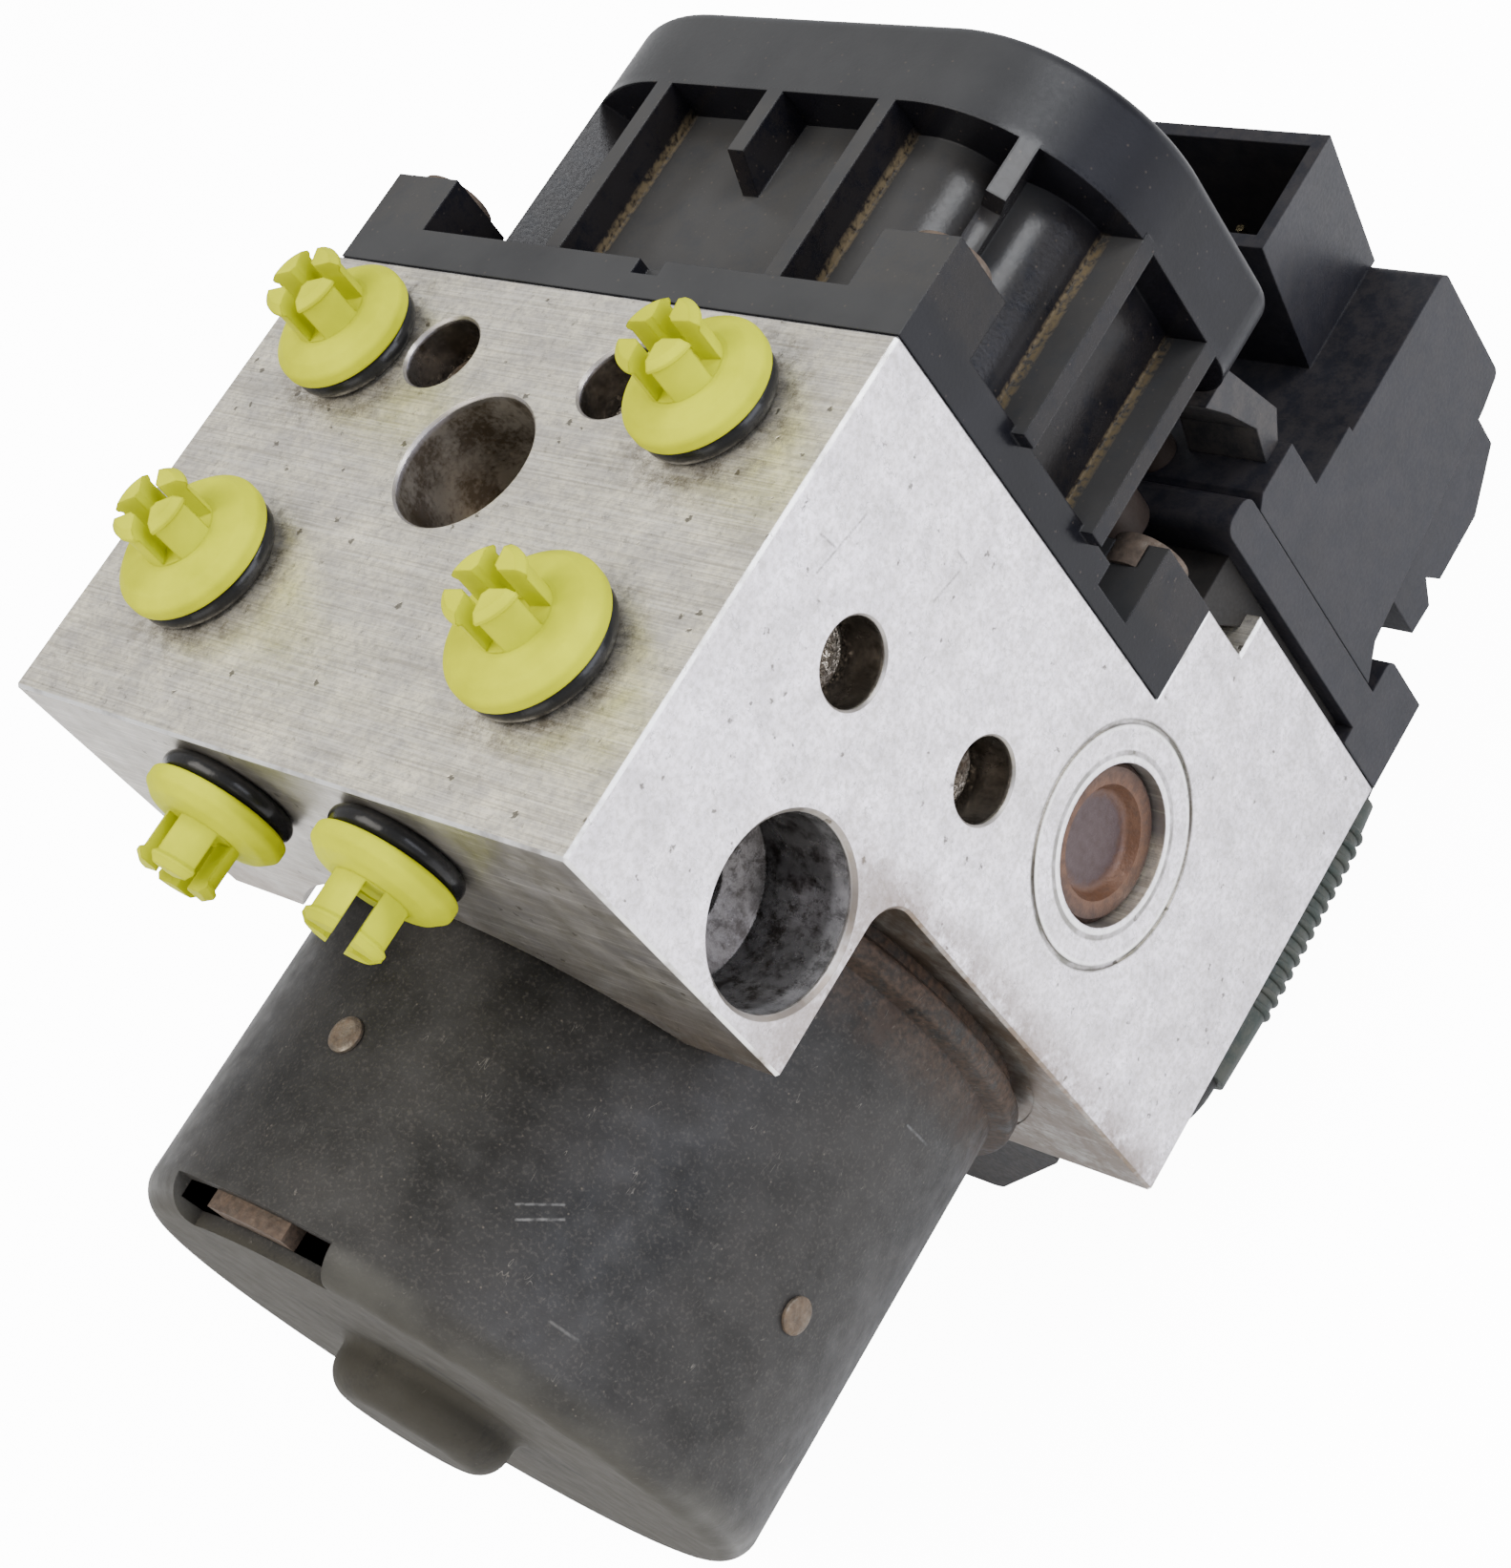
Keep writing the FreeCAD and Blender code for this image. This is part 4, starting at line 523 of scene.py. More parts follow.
# %% Block: rings and dirt
# Radius, width, strength and colour of each line: the dark ones are painted shade in the gap under the staked
# lip and in the caulked groove, the pale ones painted highlights on the edges beside them.
RINGS = [
    (11.6, 0.25, 0.80, (0.12, 0.115, 0.09, 1)),
    (15.5, 0.35, 0.85, (0.10, 0.10, 0.07, 1)),
    (14.9, 0.12, 0.60, (0.95, 0.95, 0.93, 1)),
    (10.9, 0.20, 0.60, (0.97, 0.97, 0.95, 1)),
]
ring_breakup = between(tree, cloud(tree, point, 0.25, 3.0), 0.3, 0.55, 0.35, 1.0)
for radius, width, strength, colour in RINGS:
    circle = place_effect(tree, ring_line, Point=point, Centre=PUMP_CENTRE, Radius=radius,
                          Width=width, Soft=0.25)
    circle = both(tree, both(tree, circle, side_face), ring_breakup)
    tone = blend(tree, both(tree, circle, strength), tone, colour)

halo = None
for x, y in PORTS:
    ring_of_dirt = place_effect(tree, round_spot, Point=point, Centre=(x + 1.2, y - 1.0, 0),
                                Radius=9.5, Soft=5.0)
    halo = either(tree, halo, ring_of_dirt)
smear = place_effect(tree, grime, Point=ragged, Scale=0.45, Amount=0.47)
oily = both(tree, both(tree, halo, smear), top_face)
tone = blend(tree, both(tree, oily, 0.78), tone, (0.10, 0.082, 0.055, 1))

low_front = both(tree, between(tree, where[1], -38.0, -44.0), between(tree, where[2], 92.0, 70.0))
seat_dirt = place_effect(tree, grime, Point=point, Scale=0.12, Amount=0.56)
tone = blend(tree, both(tree, both(tree, low_front, seat_dirt), 0.75), tone, (0.13, 0.085, 0.05, 1))
print("rings:", len(RINGS), "ports with dirt:", len(PORTS))

# %% [markdown]
# ## Bores
# Bores are painted dark inside: painted shade of the recess, with grease in it. Each is a round spot that
# starts a little below the face, so its edge stays bright. The side bores also have a painted highlight on
# the lip, drops on the wall and a floor darkened with painted shade.

# %% Block: bores
top_hole = place_effect(tree, round_spot, Point=point, Centre=TOP_BORE, Radius=9.75, Soft=0.05)
top_hole = both(tree, top_hole, between(tree, where[2], BLOCK_TOP - 0.4, BLOCK_TOP - 1.2))
side_hole = place_effect(tree, round_spot, Point=point, Centre=SIDE_BORE, Plane=(0, 1, 1),
                         Radius=11.6, Soft=0.05)
depth = count(tree, "ABSOLUTE", where[0])
side_hole = both(tree, side_hole, between(tree, depth, HALF_WIDTH - 0.4, HALF_WIDTH - 1.2))
side_hole = both(tree, side_hole, between(tree, depth, 26.0, 26.6))

# Four drilled channels with staked plugs: two open on the top, two on the right side
under_top = between(tree, where[2], BLOCK_TOP - 0.3, BLOCK_TOP - 0.9)
under_side = both(tree, between(tree, where[0], HALF_WIDTH - 0.3, HALF_WIDTH - 0.9),
                  between(tree, where[0], 36.0, 37.0))
CHANNELS = [
    ((-16.6, -11.8, 0), (1, 1, 0), under_top),
    ((14.4, -11.8, 0), (1, 1, 0), under_top),
    ((0, -29.4, 98.2), (0, 1, 1), under_side),
    ((0, -25.8, 69.4), (0, 1, 1), under_side),
]
drilled = None
for centre, plane, below in CHANNELS:
    mouth = place_effect(tree, round_spot, Point=point, Centre=centre, Plane=plane, Radius=5.55, Soft=0.05)
    drilled = either(tree, drilled, both(tree, mouth, below))

grease = place_effect(tree, grime, Point=point, Scale=0.2, Amount=0.5)
# The top bore's lining: painted shade of the recess, patched by the grease.
shaded_lining = blend(tree, grease, (0.40, 0.36, 0.30, 1), (0.12, 0.09, 0.055, 1))
tone = blend(tree, both(tree, top_hole, 0.92), tone, shaded_lining)
drops = place_effect(tree, grime, Point=point, Scale=0.55, Amount=0.47)
# The side bores' lining: drops on a wall in painted shade, a painted highlight on the lip by the mouth and a
# floor in deeper painted shade.
shaded_lining = blend(tree, drops, (0.30, 0.292, 0.285, 1), (0.05, 0.043, 0.037, 1))
lip_highlight = both(tree, between(tree, depth, 46.2, 47.2), between(tree, drops, 0.0, 1.0, 0.9, 0.3))
shaded_lining = blend(tree, lip_highlight, shaded_lining, (0.72, 0.71, 0.70, 1))
shaded_floor = blend(tree, drops, (0.085, 0.079, 0.074, 1), (0.022, 0.019, 0.016, 1))
shaded_lining = blend(tree, side_face, shaded_lining, shaded_floor)
tone = blend(tree, both(tree, side_hole, 0.95), tone, shaded_lining)
# The channels' lining: painted shade of the drilled holes, patched by the grease.
shaded_lining = blend(tree, grease, (0.15, 0.13, 0.105, 1), (0.05, 0.04, 0.028, 1))
tone = blend(tree, both(tree, drilled, 0.95), tone, shaded_lining)
print("channels:", len(CHANNELS))

# %% [markdown]
# ## Bevels and relief
# Handling has nicked the block's outer bevels, and they are painted pale: partly rubbed bare, partly a
# painted highlight of the light along the edges. A bevel is where the surface looks along none of the three
# directions and the point is near two of the block's outer planes. The relief comes last: mill lines and
# pits, then slow dents.

# %% Block: bevels and relief
sideways, across, upwards = (count(tree, "ABSOLUTE", looks[n]) for n in range(3))
widest = either(tree, sideways, either(tree, across, upwards))
BEVEL = 0.7
HALF_DEPTH = 34.7
at_x = count(tree, "GREATER_THAN", depth, HALF_WIDTH - BEVEL)
from_middle = count(tree, "ABSOLUTE", count(tree, "SUBTRACT", where[2], BLOCK_TOP / 2))
at_z = count(tree, "GREATER_THAN", from_middle, BLOCK_TOP / 2 - BEVEL)
from_middle = count(tree, "ABSOLUTE", count(tree, "ADD", where[1], HALF_DEPTH))
at_y = count(tree, "GREATER_THAN", from_middle, HALF_DEPTH - BEVEL)
corner = count(tree, "GREATER_THAN", count(tree, "ADD", at_x, count(tree, "ADD", at_y, at_z)), 1.5)
# Pale bevels: partly rubbed bare, partly a painted highlight along the edges, broken by nicks.
bevel_wear_and_highlight = both(tree, between(tree, widest, 0.85, 0.76), corner)
nick = between(tree, cloud(tree, point, 0.2, 5.0), 0.30, 0.52)
tone = blend(tree, both(tree, bevel_wear_and_highlight, nick), tone, (0.80, 0.79, 0.77, 1))

shine = between(tree, cloud(tree, point, 0.22, 5.0), 0.3, 0.7, 0.30, 0.46)
shine = count(tree, "ADD", shine, both(tree, oily, 0.12))
shine = count(tree, "SUBTRACT", shine, both(tree, either(tree, side_hole, drilled), 0.14))
height = count(tree, "SUBTRACT", both(tree, mill, cut_faces), pits)
relief = bump(tree, height, 0.00006, 0.55, rounded(tree, 0.0003))
dents = cloud(tree, point, 0.5, 3.0)
feed(tree, shader, Base_Color=tone, Roughness=shine, Normal=bump(tree, dents, 0.00012, 0.35, relief))
print("block finish:", len(tree.nodes), "nodes")

# %% [markdown]
# ## Other metals
# Most of the small metal pieces differ only in colour, shine and how rusty they are. One function
# makes them: two tones in a slow cloud, fine lines of noise drawn out along X as a relief, and patches
# of raised rust where a piece has any.


# %% Metals
def metal(name, colour, roughness=0.35, rust=0.0, rust_colour=(0.16, 0.065, 0.025), dark=0.5,
          metallic=1.0, grain=0.5, relief=0.00012):
    """Turned or drawn metal with some share of its face rusty."""
    material, tree, shader, point = new_finish(name, metallic)
    shade = cloud(tree, point, 0.35, 5.0)
    low = tuple(channel * dark for channel in colour)
    skin = blend(tree, between(tree, shade, 0.35, 0.65), (*low, 1), (*colour, 1))
    gloss = between(tree, cloud(tree, point, 1.1, 4.0), 0.3, 0.7, roughness * 0.75, roughness * 1.3)
    height = cloud(tree, stretch(tree, point, (1.0, 4.0, 4.0)), grain, 4.0)
    if rust:
        patch = place_effect(tree, grime, Point=point, Scale=0.28, Amount=rust)
        ochre = cloud(tree, point, 0.9, 5.0)
        bright = tuple(channel * 2.1 for channel in rust_colour)
        brown = blend(tree, between(tree, ochre, 0.35, 0.68), (*rust_colour, 1), (*bright, 1))
        skin = blend(tree, patch, skin, brown)
        gloss = count(tree, "ADD", gloss, both(tree, patch, 0.3))
        dull = count(tree, "SUBTRACT", metallic, both(tree, patch, metallic * 0.75))
        feed(tree, shader, Metallic=dull)
        height = count(tree, "ADD", height, both(tree, patch, count(tree, "ADD", ochre, 0.4)))
    edges = rounded(tree, 0.0002)
    feed(tree, shader, Base_Color=skin, Roughness=gloss, Normal=bump(tree, height, relief, 0.5, edges))
    return material


finishes = {
    "block_aluminium": block,
    "staked_steel": metal("staked_plug_steel", (0.42, 0.37, 0.30), 0.2, 0.46, (0.05, 0.035, 0.022),
                          grain=0.22, relief=0.0022),
    "rivet_steel": metal("rivet_steel_worn", (0.19, 0.16, 0.125), 0.5, 0.5, (0.055, 0.038, 0.024)),
    "rusty_tab": metal("tab_rust", (0.10, 0.08, 0.062), 0.55, 0.55, (0.045, 0.030, 0.020)),
    "bush_steel": metal("bush_tan", (0.15, 0.125, 0.095), 0.55, 0.6, (0.045, 0.032, 0.022), metallic=0.5),
    "screw_steel": metal("screw_dull", (0.26, 0.24, 0.22), 0.45, 0.4, (0.12, 0.07, 0.04)),
    "cap_steel": metal("cap_zinc", (0.55, 0.54, 0.52), 0.35, 0.25),
    "accumulator_aluminium": metal("piston_bare", (0.66, 0.66, 0.66), 0.28),
    "spring_steel": metal("spring_wire", (0.42, 0.42, 0.43), 0.3),
    "shaft_steel": metal("shaft_ground", (0.58, 0.58, 0.58), 0.2),
    "race_steel": metal("race_ground", (0.62, 0.62, 0.63), 0.16),
    "core_steel": metal("core_sheets", (0.24, 0.24, 0.25), 0.42),
    "liner_steel": metal("liner_turned", (0.56, 0.56, 0.56), 0.25),
    "piston_steel": metal("piston_ground", (0.62, 0.62, 0.63), 0.15),
    "valve_steel": metal("valve_turned", (0.56, 0.55, 0.54), 0.26),
    "plunger_steel": metal("plunger_turned", (0.60, 0.60, 0.60), 0.22),
    "winding_copper": metal("winding_lacquer", (0.62, 0.26, 0.11), 0.32),
    "coil_copper": metal("coil_lacquer", (0.60, 0.25, 0.11), 0.36),
    "commutator_copper": metal("commutator_worn", (0.70, 0.34, 0.19), 0.3),
    "pin_brass": metal("pin_tinned", (0.62, 0.52, 0.30), 0.25),
    "magnet": metal("ferrite", (0.055, 0.055, 0.06), 0.6, metallic=0.2),
    "carbon": metal("brush_carbon", (0.035, 0.035, 0.038), 0.55, metallic=0.1),
}
print("metals:", len(finishes))

# %% [markdown]
# ## The pump plugs
# The steel plugs that close the pump's cross bore have rusted. The dish in the middle is a dull maroon,
# the slope round it is orange brown, and the dirt is darkest where the plug meets the block. Distance
# from the plug's axis picks the tone, so one material serves both sides.

# %% Pump plugs
rusty, tree, shader, point = new_finish("plug_rust", 0.35)
from_axis = off_axis(tree, point, PUMP_CENTRE, (0, 1, 1))
cake = cloud(tree, point, 0.9, 5.0)
from_axis = count(tree, "ADD", from_axis, between(tree, cake, 0.3, 0.7, -0.5, 0.5))
skin = blend(tree, between(tree, from_axis, 5.2, 6.6), (0.045, 0.027, 0.027, 1), (0.085, 0.036, 0.016, 1))
skin = blend(tree, between(tree, from_axis, 7.6, 9.8), skin, (0.035, 0.018, 0.012, 1))
skin = blend(tree, between(tree, cake, 0.48, 0.68, 0.0, 0.45), skin, (0.040, 0.024, 0.018, 1))
grit = cloud(tree, point, 3.0, 3.0)
gloss = between(tree, cake, 0.3, 0.7, 0.40, 0.62)
crust = count(tree, "ADD", cake, grit)
feed(tree, shader, Base_Color=skin, Roughness=gloss, Normal=bump(tree, crust, 0.0001, 0.6))
finishes["rusty_plug"] = rusty
print("pump plugs:", len(tree.nodes), "nodes")

# %% [markdown]
# ## The motor can
# The can is deep drawn steel under satin paint. Dust specks sit on it, brown rust creeps from the seat
# and the rolled bead, and the far end is dull, with a beige rim that is partly worn and partly a painted
# highlight.

# %% Motor can: paint, dust and rust
can, tree, shader, point = new_finish("can_satin_paint")
along_y = parts(tree, point)[1]
paint_cloud = between(tree, cloud(tree, point, 0.06, 5.0), 0.38, 0.62)
skin = blend(tree, paint_cloud, (0.0042, 0.0038, 0.0030, 1), (0.017, 0.0155, 0.0138, 1))
blotch = between(tree, cloud(tree, point, 0.25, 6.0, 0.68), 0.42, 0.66)
skin = blend(tree, both(tree, blotch, 0.4), skin, (0.027, 0.026, 0.024, 1))
fine_grain = cloud(tree, point, 2.2, 3.0)
skin = blend(tree, between(tree, fine_grain, 0.52, 0.72, 0.0, 0.30), skin, (0.075, 0.066, 0.056, 1))
dust = place_effect(tree, specks, Point=point, Scale=0.75, Size=0.13, Share=0.3)
skin = blend(tree, both(tree, dust, 0.5), skin, (0.16, 0.135, 0.105, 1))

near_seat = between(tree, along_y, -58.0, -49.0)
creep = place_effect(tree, grime, Point=point, Scale=0.16, Amount=0.55)
at_bead = between(tree, along_y, -47.6, -46.4)
bead_line = both(tree, at_bead, between(tree, cloud(tree, point, 0.3), 0.35, 0.55))
rust = either(tree, both(tree, both(tree, near_seat, creep), 0.7), bead_line)
rust_tone = blend(tree, between(tree, cloud(tree, point, 1.3, 5.0), 0.35, 0.65),
                  (0.022, 0.015, 0.010, 1), (0.065, 0.040, 0.026, 1))
skin = blend(tree, rust, skin, rust_tone)
print("can so far:", len(tree.nodes), "nodes")

# %% [markdown]
# ## The can's worn end
# The end face is rubbed dull and its rim is painted paler: partly rubbed, partly a painted highlight along
# the rounded shoulder. Where the end starts is told from the place along the can's axis, and the rim from
# the distance to that axis.

# %% Motor can: the worn end
CAN_AXIS = (0.0, 0.0, 42.6)
from_axis = off_axis(tree, point, CAN_AXIS, (1, 0, 1))
end_face = between(tree, along_y, -111.2, -112.6)
rub = place_effect(tree, grime, Point=point, Scale=0.2, Amount=0.6)
rub = both(tree, end_face, between(tree, rub, 0.0, 1.0, 0.4, 0.9))
skin = blend(tree, rub, skin, (0.030, 0.027, 0.020, 1))
# The pale rim is partly rubbed paint and partly a painted highlight on the rounded shoulder.
rim_wear_and_highlight = both(tree, between(tree, along_y, -107.6, -111.0), between(tree, from_axis, 38.5, 40.5))
rim_wear_and_highlight = both(tree, rim_wear_and_highlight, between(tree, cloud(tree, point, 0.09, 5.0), 0.36, 0.62, 0.2, 0.9))
skin = blend(tree, rim_wear_and_highlight, skin, (0.042, 0.040, 0.033, 1))
print("can so far:", len(tree.nodes), "nodes")

# %% [markdown]
# ## Marks on the can
# Nine marks stand where the photograph has them: two dimples with brown drips by the seat, three slots
# in the end face painted near black as painted shade, a pair of long scratches on the shoulder and two short
# ones. Each is a stroke with its own start, run, width and tone, broken up so that it doesn't look ruled.

# %% Motor can: marks
DRIP = (0.020, 0.012, 0.008, 1)
# Near black for the slots: painted shade inside them.
SLOT_SHADE = (0.006, 0.005, 0.004, 1)
MARKS = [
    ((42.4, -49.0, 54.1), (0.2, -5.0, -0.6), 0.9, 0.8, DRIP),
    ((42.2, -49.0, 30.6), (0.1, -5.5, 0.4), 0.9, 0.8, DRIP),
    ((-11.4, -113.0, 61.7), (2.0, 0.0, -4.0), 0.8, 0.3, SLOT_SHADE),
    ((14.3, -113.0, 59.9), (3.4, 0.0, -6.1), 0.9, 0.3, SLOT_SHADE),
    ((15.4, -113.0, 33.8), (2.8, 0.0, -2.0), 0.9, 0.3, SLOT_SHADE),
    ((28.2, -94.7, 76.3), (3.4, 2.8, -3.2), 0.05, 0.16, (0.10, 0.098, 0.094, 1)),
    ((28.9, -96.2, 75.7), (3.3, 2.9, -3.2), 0.05, 0.18, (0.13, 0.127, 0.12, 1)),
    ((35.2, -103.8, 68.9), (2.2, -0.1, -3.3), 0.05, 0.22, (0.075, 0.072, 0.066, 1)),
    ((43.9, -59.9, 42.3), (-0.4, 0.2, -5.5), 0.05, 0.2, (0.09, 0.09, 0.088, 1)),
]
broken = between(tree, cloud(tree, point, 1.1, 3.0), 0.36, 0.56, 0.15, 0.75)
for spot, run, width, soft, colour in MARKS:
    mark = place_effect(tree, stroke, Point=point, Start=spot, Along=run, Width=width, Soft=soft)
    skin = blend(tree, both(tree, mark, broken), skin, colour)
scores = place_effect(tree, scratches, Point=point, Turn=(0.2, 0.35, 1.45), Density=0.36, Width=0.012)
skin = blend(tree, both(tree, scores, 0.45), skin, (0.22, 0.20, 0.17, 1))

gloss = between(tree, cloud(tree, point, 0.3, 4.0), 0.3, 0.7, 0.42, 0.56)
gloss = count(tree, "ADD", gloss, both(tree, either(tree, rust, end_face), 0.3))
height = count(tree, "ADD", both(tree, fine_grain, 0.5), both(tree, dust, 0.7))
height = count(tree, "ADD", height, both(tree, rust, 0.8))
relief = bump(tree, height, 0.00008, 0.6, rounded(tree, 0.0003))
feed(tree, shader, Base_Color=skin, Roughness=gloss, Normal=relief)
shader.inputs["Specular IOR Level"].default_value = 0.20
finishes["can_paint"] = can
print("can finish:", len(tree.nodes), "nodes,", len(MARKS), "marks")

# %% [markdown]
# ## Moulded plastics and rubbers
# Plastic and rubber share one recipe with other numbers: a base colour with a slow cloud, moulding
# grain, and dust that settles on faces looking up and in the corners beside the ribs.


# %% Plastics
def moulded(name, colour, roughness=0.45, dust=0.3, dust_colour=(0.16, 0.13, 0.10), grain=1.6,
            depth=0.00005, sheen=0.19):
    """A moulded surface with grain and settled dust."""
    material, tree, shader, point = new_finish(name)
    looks = parts(tree, outward(tree))
    slow = between(tree, cloud(tree, point, 0.12, 4.0), 0.35, 0.65)
    pale = tuple(min(channel * 1.25, 1.0) for channel in colour)
    skin = blend(tree, slow, (*colour, 1), (*pale, 1))
    upward = between(tree, looks[2], -0.2, 1.0, 0.35, 1.0)
    settled = place_effect(tree, grime, Point=point, Scale=0.35, Amount=0.5)
    film = both(tree, both(tree, settled, upward), dust)
    skin = blend(tree, film, skin, (*dust_colour, 1))
    dots = place_effect(tree, specks, Point=point, Scale=0.8, Size=0.14, Share=0.4)
    skin = blend(tree, both(tree, dots, dust), skin, (*dust_colour, 1))
    texture = cloud(tree, point, grain, 4.0)
    gloss = between(tree, texture, 0.3, 0.7, roughness * 0.9, roughness * 1.12)
    gloss = count(tree, "ADD", gloss, both(tree, film, 0.25))
    relief = bump(tree, texture, depth, 0.5, rounded(tree, 0.0004))
    feed(tree, shader, Base_Color=skin, Roughness=gloss, Normal=relief)
    shader.inputs["Specular IOR Level"].default_value = sheen
    return material


finishes.update({
    "plug_plastic": moulded("plug_yellow", (0.37, 0.39, 0.0), 0.6, 0.04, (0.30, 0.26, 0.02),
                            grain=0.9, depth=0.00003, sheen=0.08),
    "controller_plastic": moulded("case_grey_black", (0.009, 0.009, 0.0115), 0.42, 0.06),
    "bridge_plastic": moulded("bridge_grey", (0.018, 0.0175, 0.0185), 0.45, 0.2),
    "carrier_plastic": moulded("carrier_black", (0.022, 0.022, 0.024), 0.45, 0.0),
    "brush_plate_plastic": moulded("brush_plate_brown", (0.075, 0.045, 0.025), 0.5, 0.1),
    "board_laminate": moulded("board_green", (0.02, 0.11, 0.045), 0.4, 0.0),
    "port_rubber": moulded("ring_black", (0.008, 0.008, 0.008), 0.14, 0.03),
    "gasket_rubber": moulded("gasket_black", (0.012, 0.012, 0.012), 0.5, 0.0),
    "seal_rubber": moulded("seal_black", (0.010, 0.009, 0.008), 0.6, 0.1, (0.05, 0.04, 0.03)),
    "grommet_rubber": moulded("grommet_brown", (0.020, 0.0145, 0.0115), 0.5, 0.2, (0.06, 0.045, 0.035)),
    "lead_rubber": moulded("lead_black", (0.014, 0.014, 0.014), 0.5, 0.1),
    "sleeve_plastic": moulded("sleeve_green_black", (0.018, 0.024, 0.020), 0.42, 0.2),
    "boot_rubber": moulded("boot_black", (0.012, 0.011, 0.011), 0.5, 0.2),
})
print("finishes so far:", len(finishes))

# %% [markdown]
# ## The valve cover
# The hood is smooth dark plastic that takes a blue-grey sheen from the window, while the deep pockets
# between its ribs have gathered brown dust. Faces looking up are painted greyer, a painted sheen of the light
# above mixed with settled dust. The brown dust is kept to the recess under the hood's band: below the band's
# edge and behind the outline of its face.

# %% Valve cover
RIB_ROOTS = [(-12.3, 111.5), (25.0, 111.5), (46.0, 95.0), (46.0, 76.5), (-31.0, 95.0), (-31.0, 76.5)]
cover, tree, shader, point = new_finish("cover_satin_black")
where = parts(tree, point)
slow = cloud(tree, point, 0.07, 4.0)
skin = blend(tree, between(tree, slow, 0.35, 0.65), (0.0030, 0.0030, 0.0042, 1), (0.0058, 0.0058, 0.0078, 1))
upward = parts(tree, outward(tree))[2]
# Faces looking up painted greyer: a painted sheen of the light above, mixed with settled dust.
dust_and_top_sheen = both(tree, between(tree, upward, 0.60, 0.98), between(tree, slow, 0.3, 0.6, 0.75, 1.0))
skin = blend(tree, dust_and_top_sheen, skin, (0.032, 0.032, 0.032, 1))
powder = place_effect(tree, grime, Point=point, Scale=0.3, Amount=0.56)
pockets = both(tree, between(tree, where[1], 34.0, 31.0), between(tree, where[1], 4.5, 7.0))
film = both(tree, both(tree, pockets, powder), 0.05)
dusty = None
for x, z in RIB_ROOTS:
    line = place_effect(tree, round_spot, Point=point, Centre=(x, 0, z), Plane=(1, 0, 1),
                        Radius=1.5, Soft=0.5)
    dusty = either(tree, dusty, line)
crumbly = between(tree, cloud(tree, point, 1.2, 4.0), 0.38, 0.56, 0.15, 0.95)
dusty = both(tree, both(tree, dusty, pockets), crumbly)
dusty = either(tree, dusty, film)
skin = blend(tree, dusty, skin, (0.095, 0.072, 0.040, 1))
crumbs = place_effect(tree, specks, Point=point, Scale=0.75, Size=0.16, Share=0.5)
skin = blend(tree, both(tree, crumbs, 0.30), skin, (0.12, 0.095, 0.07, 1))
grain = cloud(tree, point, 1.8, 4.0)
gloss = between(tree, grain, 0.3, 0.7, 0.18, 0.26)
gloss = count(tree, "ADD", gloss, between(tree, where[1], 33.5, 35.0, 0.0, 0.18))
gloss = count(tree, "ADD", gloss, both(tree, dusty, 0.3))
relief = bump(tree, grain, 0.00004, 0.5, rounded(tree, 0.0004))
feed(tree, shader, Base_Color=skin, Roughness=gloss, Normal=relief)
shader.inputs["Specular IOR Level"].default_value = 0.14
finishes["cover_plastic"] = cover
print("cover finish:", len(tree.nodes), "nodes")

# %% [markdown]
# ## Giving every node its finish
# Each CAD node carries a named material slot. The slot's name picks the finish, and a node whose slot
# names no finish is listed.

# %% Assign
plain = []
for name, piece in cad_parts.items():
    for slot in piece.material_slots:
        wanted = slot.material.name.split(".")[0]
        if wanted in finishes:
            slot.material = finishes[wanted]
        else:
            plain.append((name, wanted))
print("nodes without a finish:", plain)

# %% [markdown]
# ## The route of the motor lead
# The lead runs from the motor's boot along the block's right edge into the controller. Its route is a
# line with rounded corners, the same straights and bends as the solid lead's. Only the stretch under the
# corrugated sleeve is kept.


# %% Lead route
def bent_route(corners, radii, steps=24):
    """Points of a line with rounded corners."""
    points = [Vector(corners[0])]
    for before, corner, after, radius in zip(corners, corners[1:], corners[2:], radii):
        before, corner, after = Vector(before), Vector(corner), Vector(after)
        inward, outward = (before - corner).normalized(), (after - corner).normalized()
        half = inward.angle(outward) / 2
        reach = radius / math.tan(half)
        centre = corner + (inward + outward).normalized() * (radius / math.sin(half))
        first, last = corner + inward * reach, corner + outward * reach
        for step in range(steps + 1):
            share = step / steps
            spoke = ((first - centre).slerp(last - centre, share)).normalized() * radius
            points.append(centre + spoke)
    points.append(Vector(corners[-1]))
    return points


LEAD_CORNERS = [
    (22, -34.5, -8),
    (45, -34.5, -3.9),
    (46, -12, -3.9),
    (45.5, 12, -3.9),
    (44, 27, -3.9),
    (44, 27, 8),
]
LEAD_RADII = [8.0, 60.0, 60.0, 5.3]
route = bent_route(LEAD_CORNERS, LEAD_RADII)
SLEEVE_START, SLEEVE_END = -25.2, 19.4
sleeved = [placed(*spot) for spot in route if SLEEVE_START <= spot.y <= SLEEVE_END]
line = bpy.data.meshes.new("sleeve_route")
line.from_pydata(sleeved, [(n, n + 1) for n in range(len(sleeved) - 1)], [])
print("route points:", len(route), "under the sleeve:", len(sleeved))

# %% [markdown]
# ## Growing shapes with Geometry Nodes
# The ribs and the springs both sweep a small circle along a curve, so they share their helpers: one
# starts a tree with named inputs, one makes a tube, one ends the tree, and one runs it and keeps the
# result as a plain mesh.


# %% Geometry helpers
def socket_of(tree, label):
    """The identifier of a named input of a node tree."""
    return next(item.identifier for item in tree.interface.items_tree if item.name == label)


def geo(tree, kind, inputs=None, **settings):
    """Add a geometry node, set what it does and wire or set its inputs."""
    made = tree.nodes.new("GeometryNode" + kind)
    for name, setting in settings.items():
        setattr(made, name, setting)
    for name, given in (inputs or {}).items():
        if isinstance(given, bpy.types.NodeSocket):
            tree.links.new(given, made.inputs[name])
        else:
            made.inputs[name].default_value = given
    return made


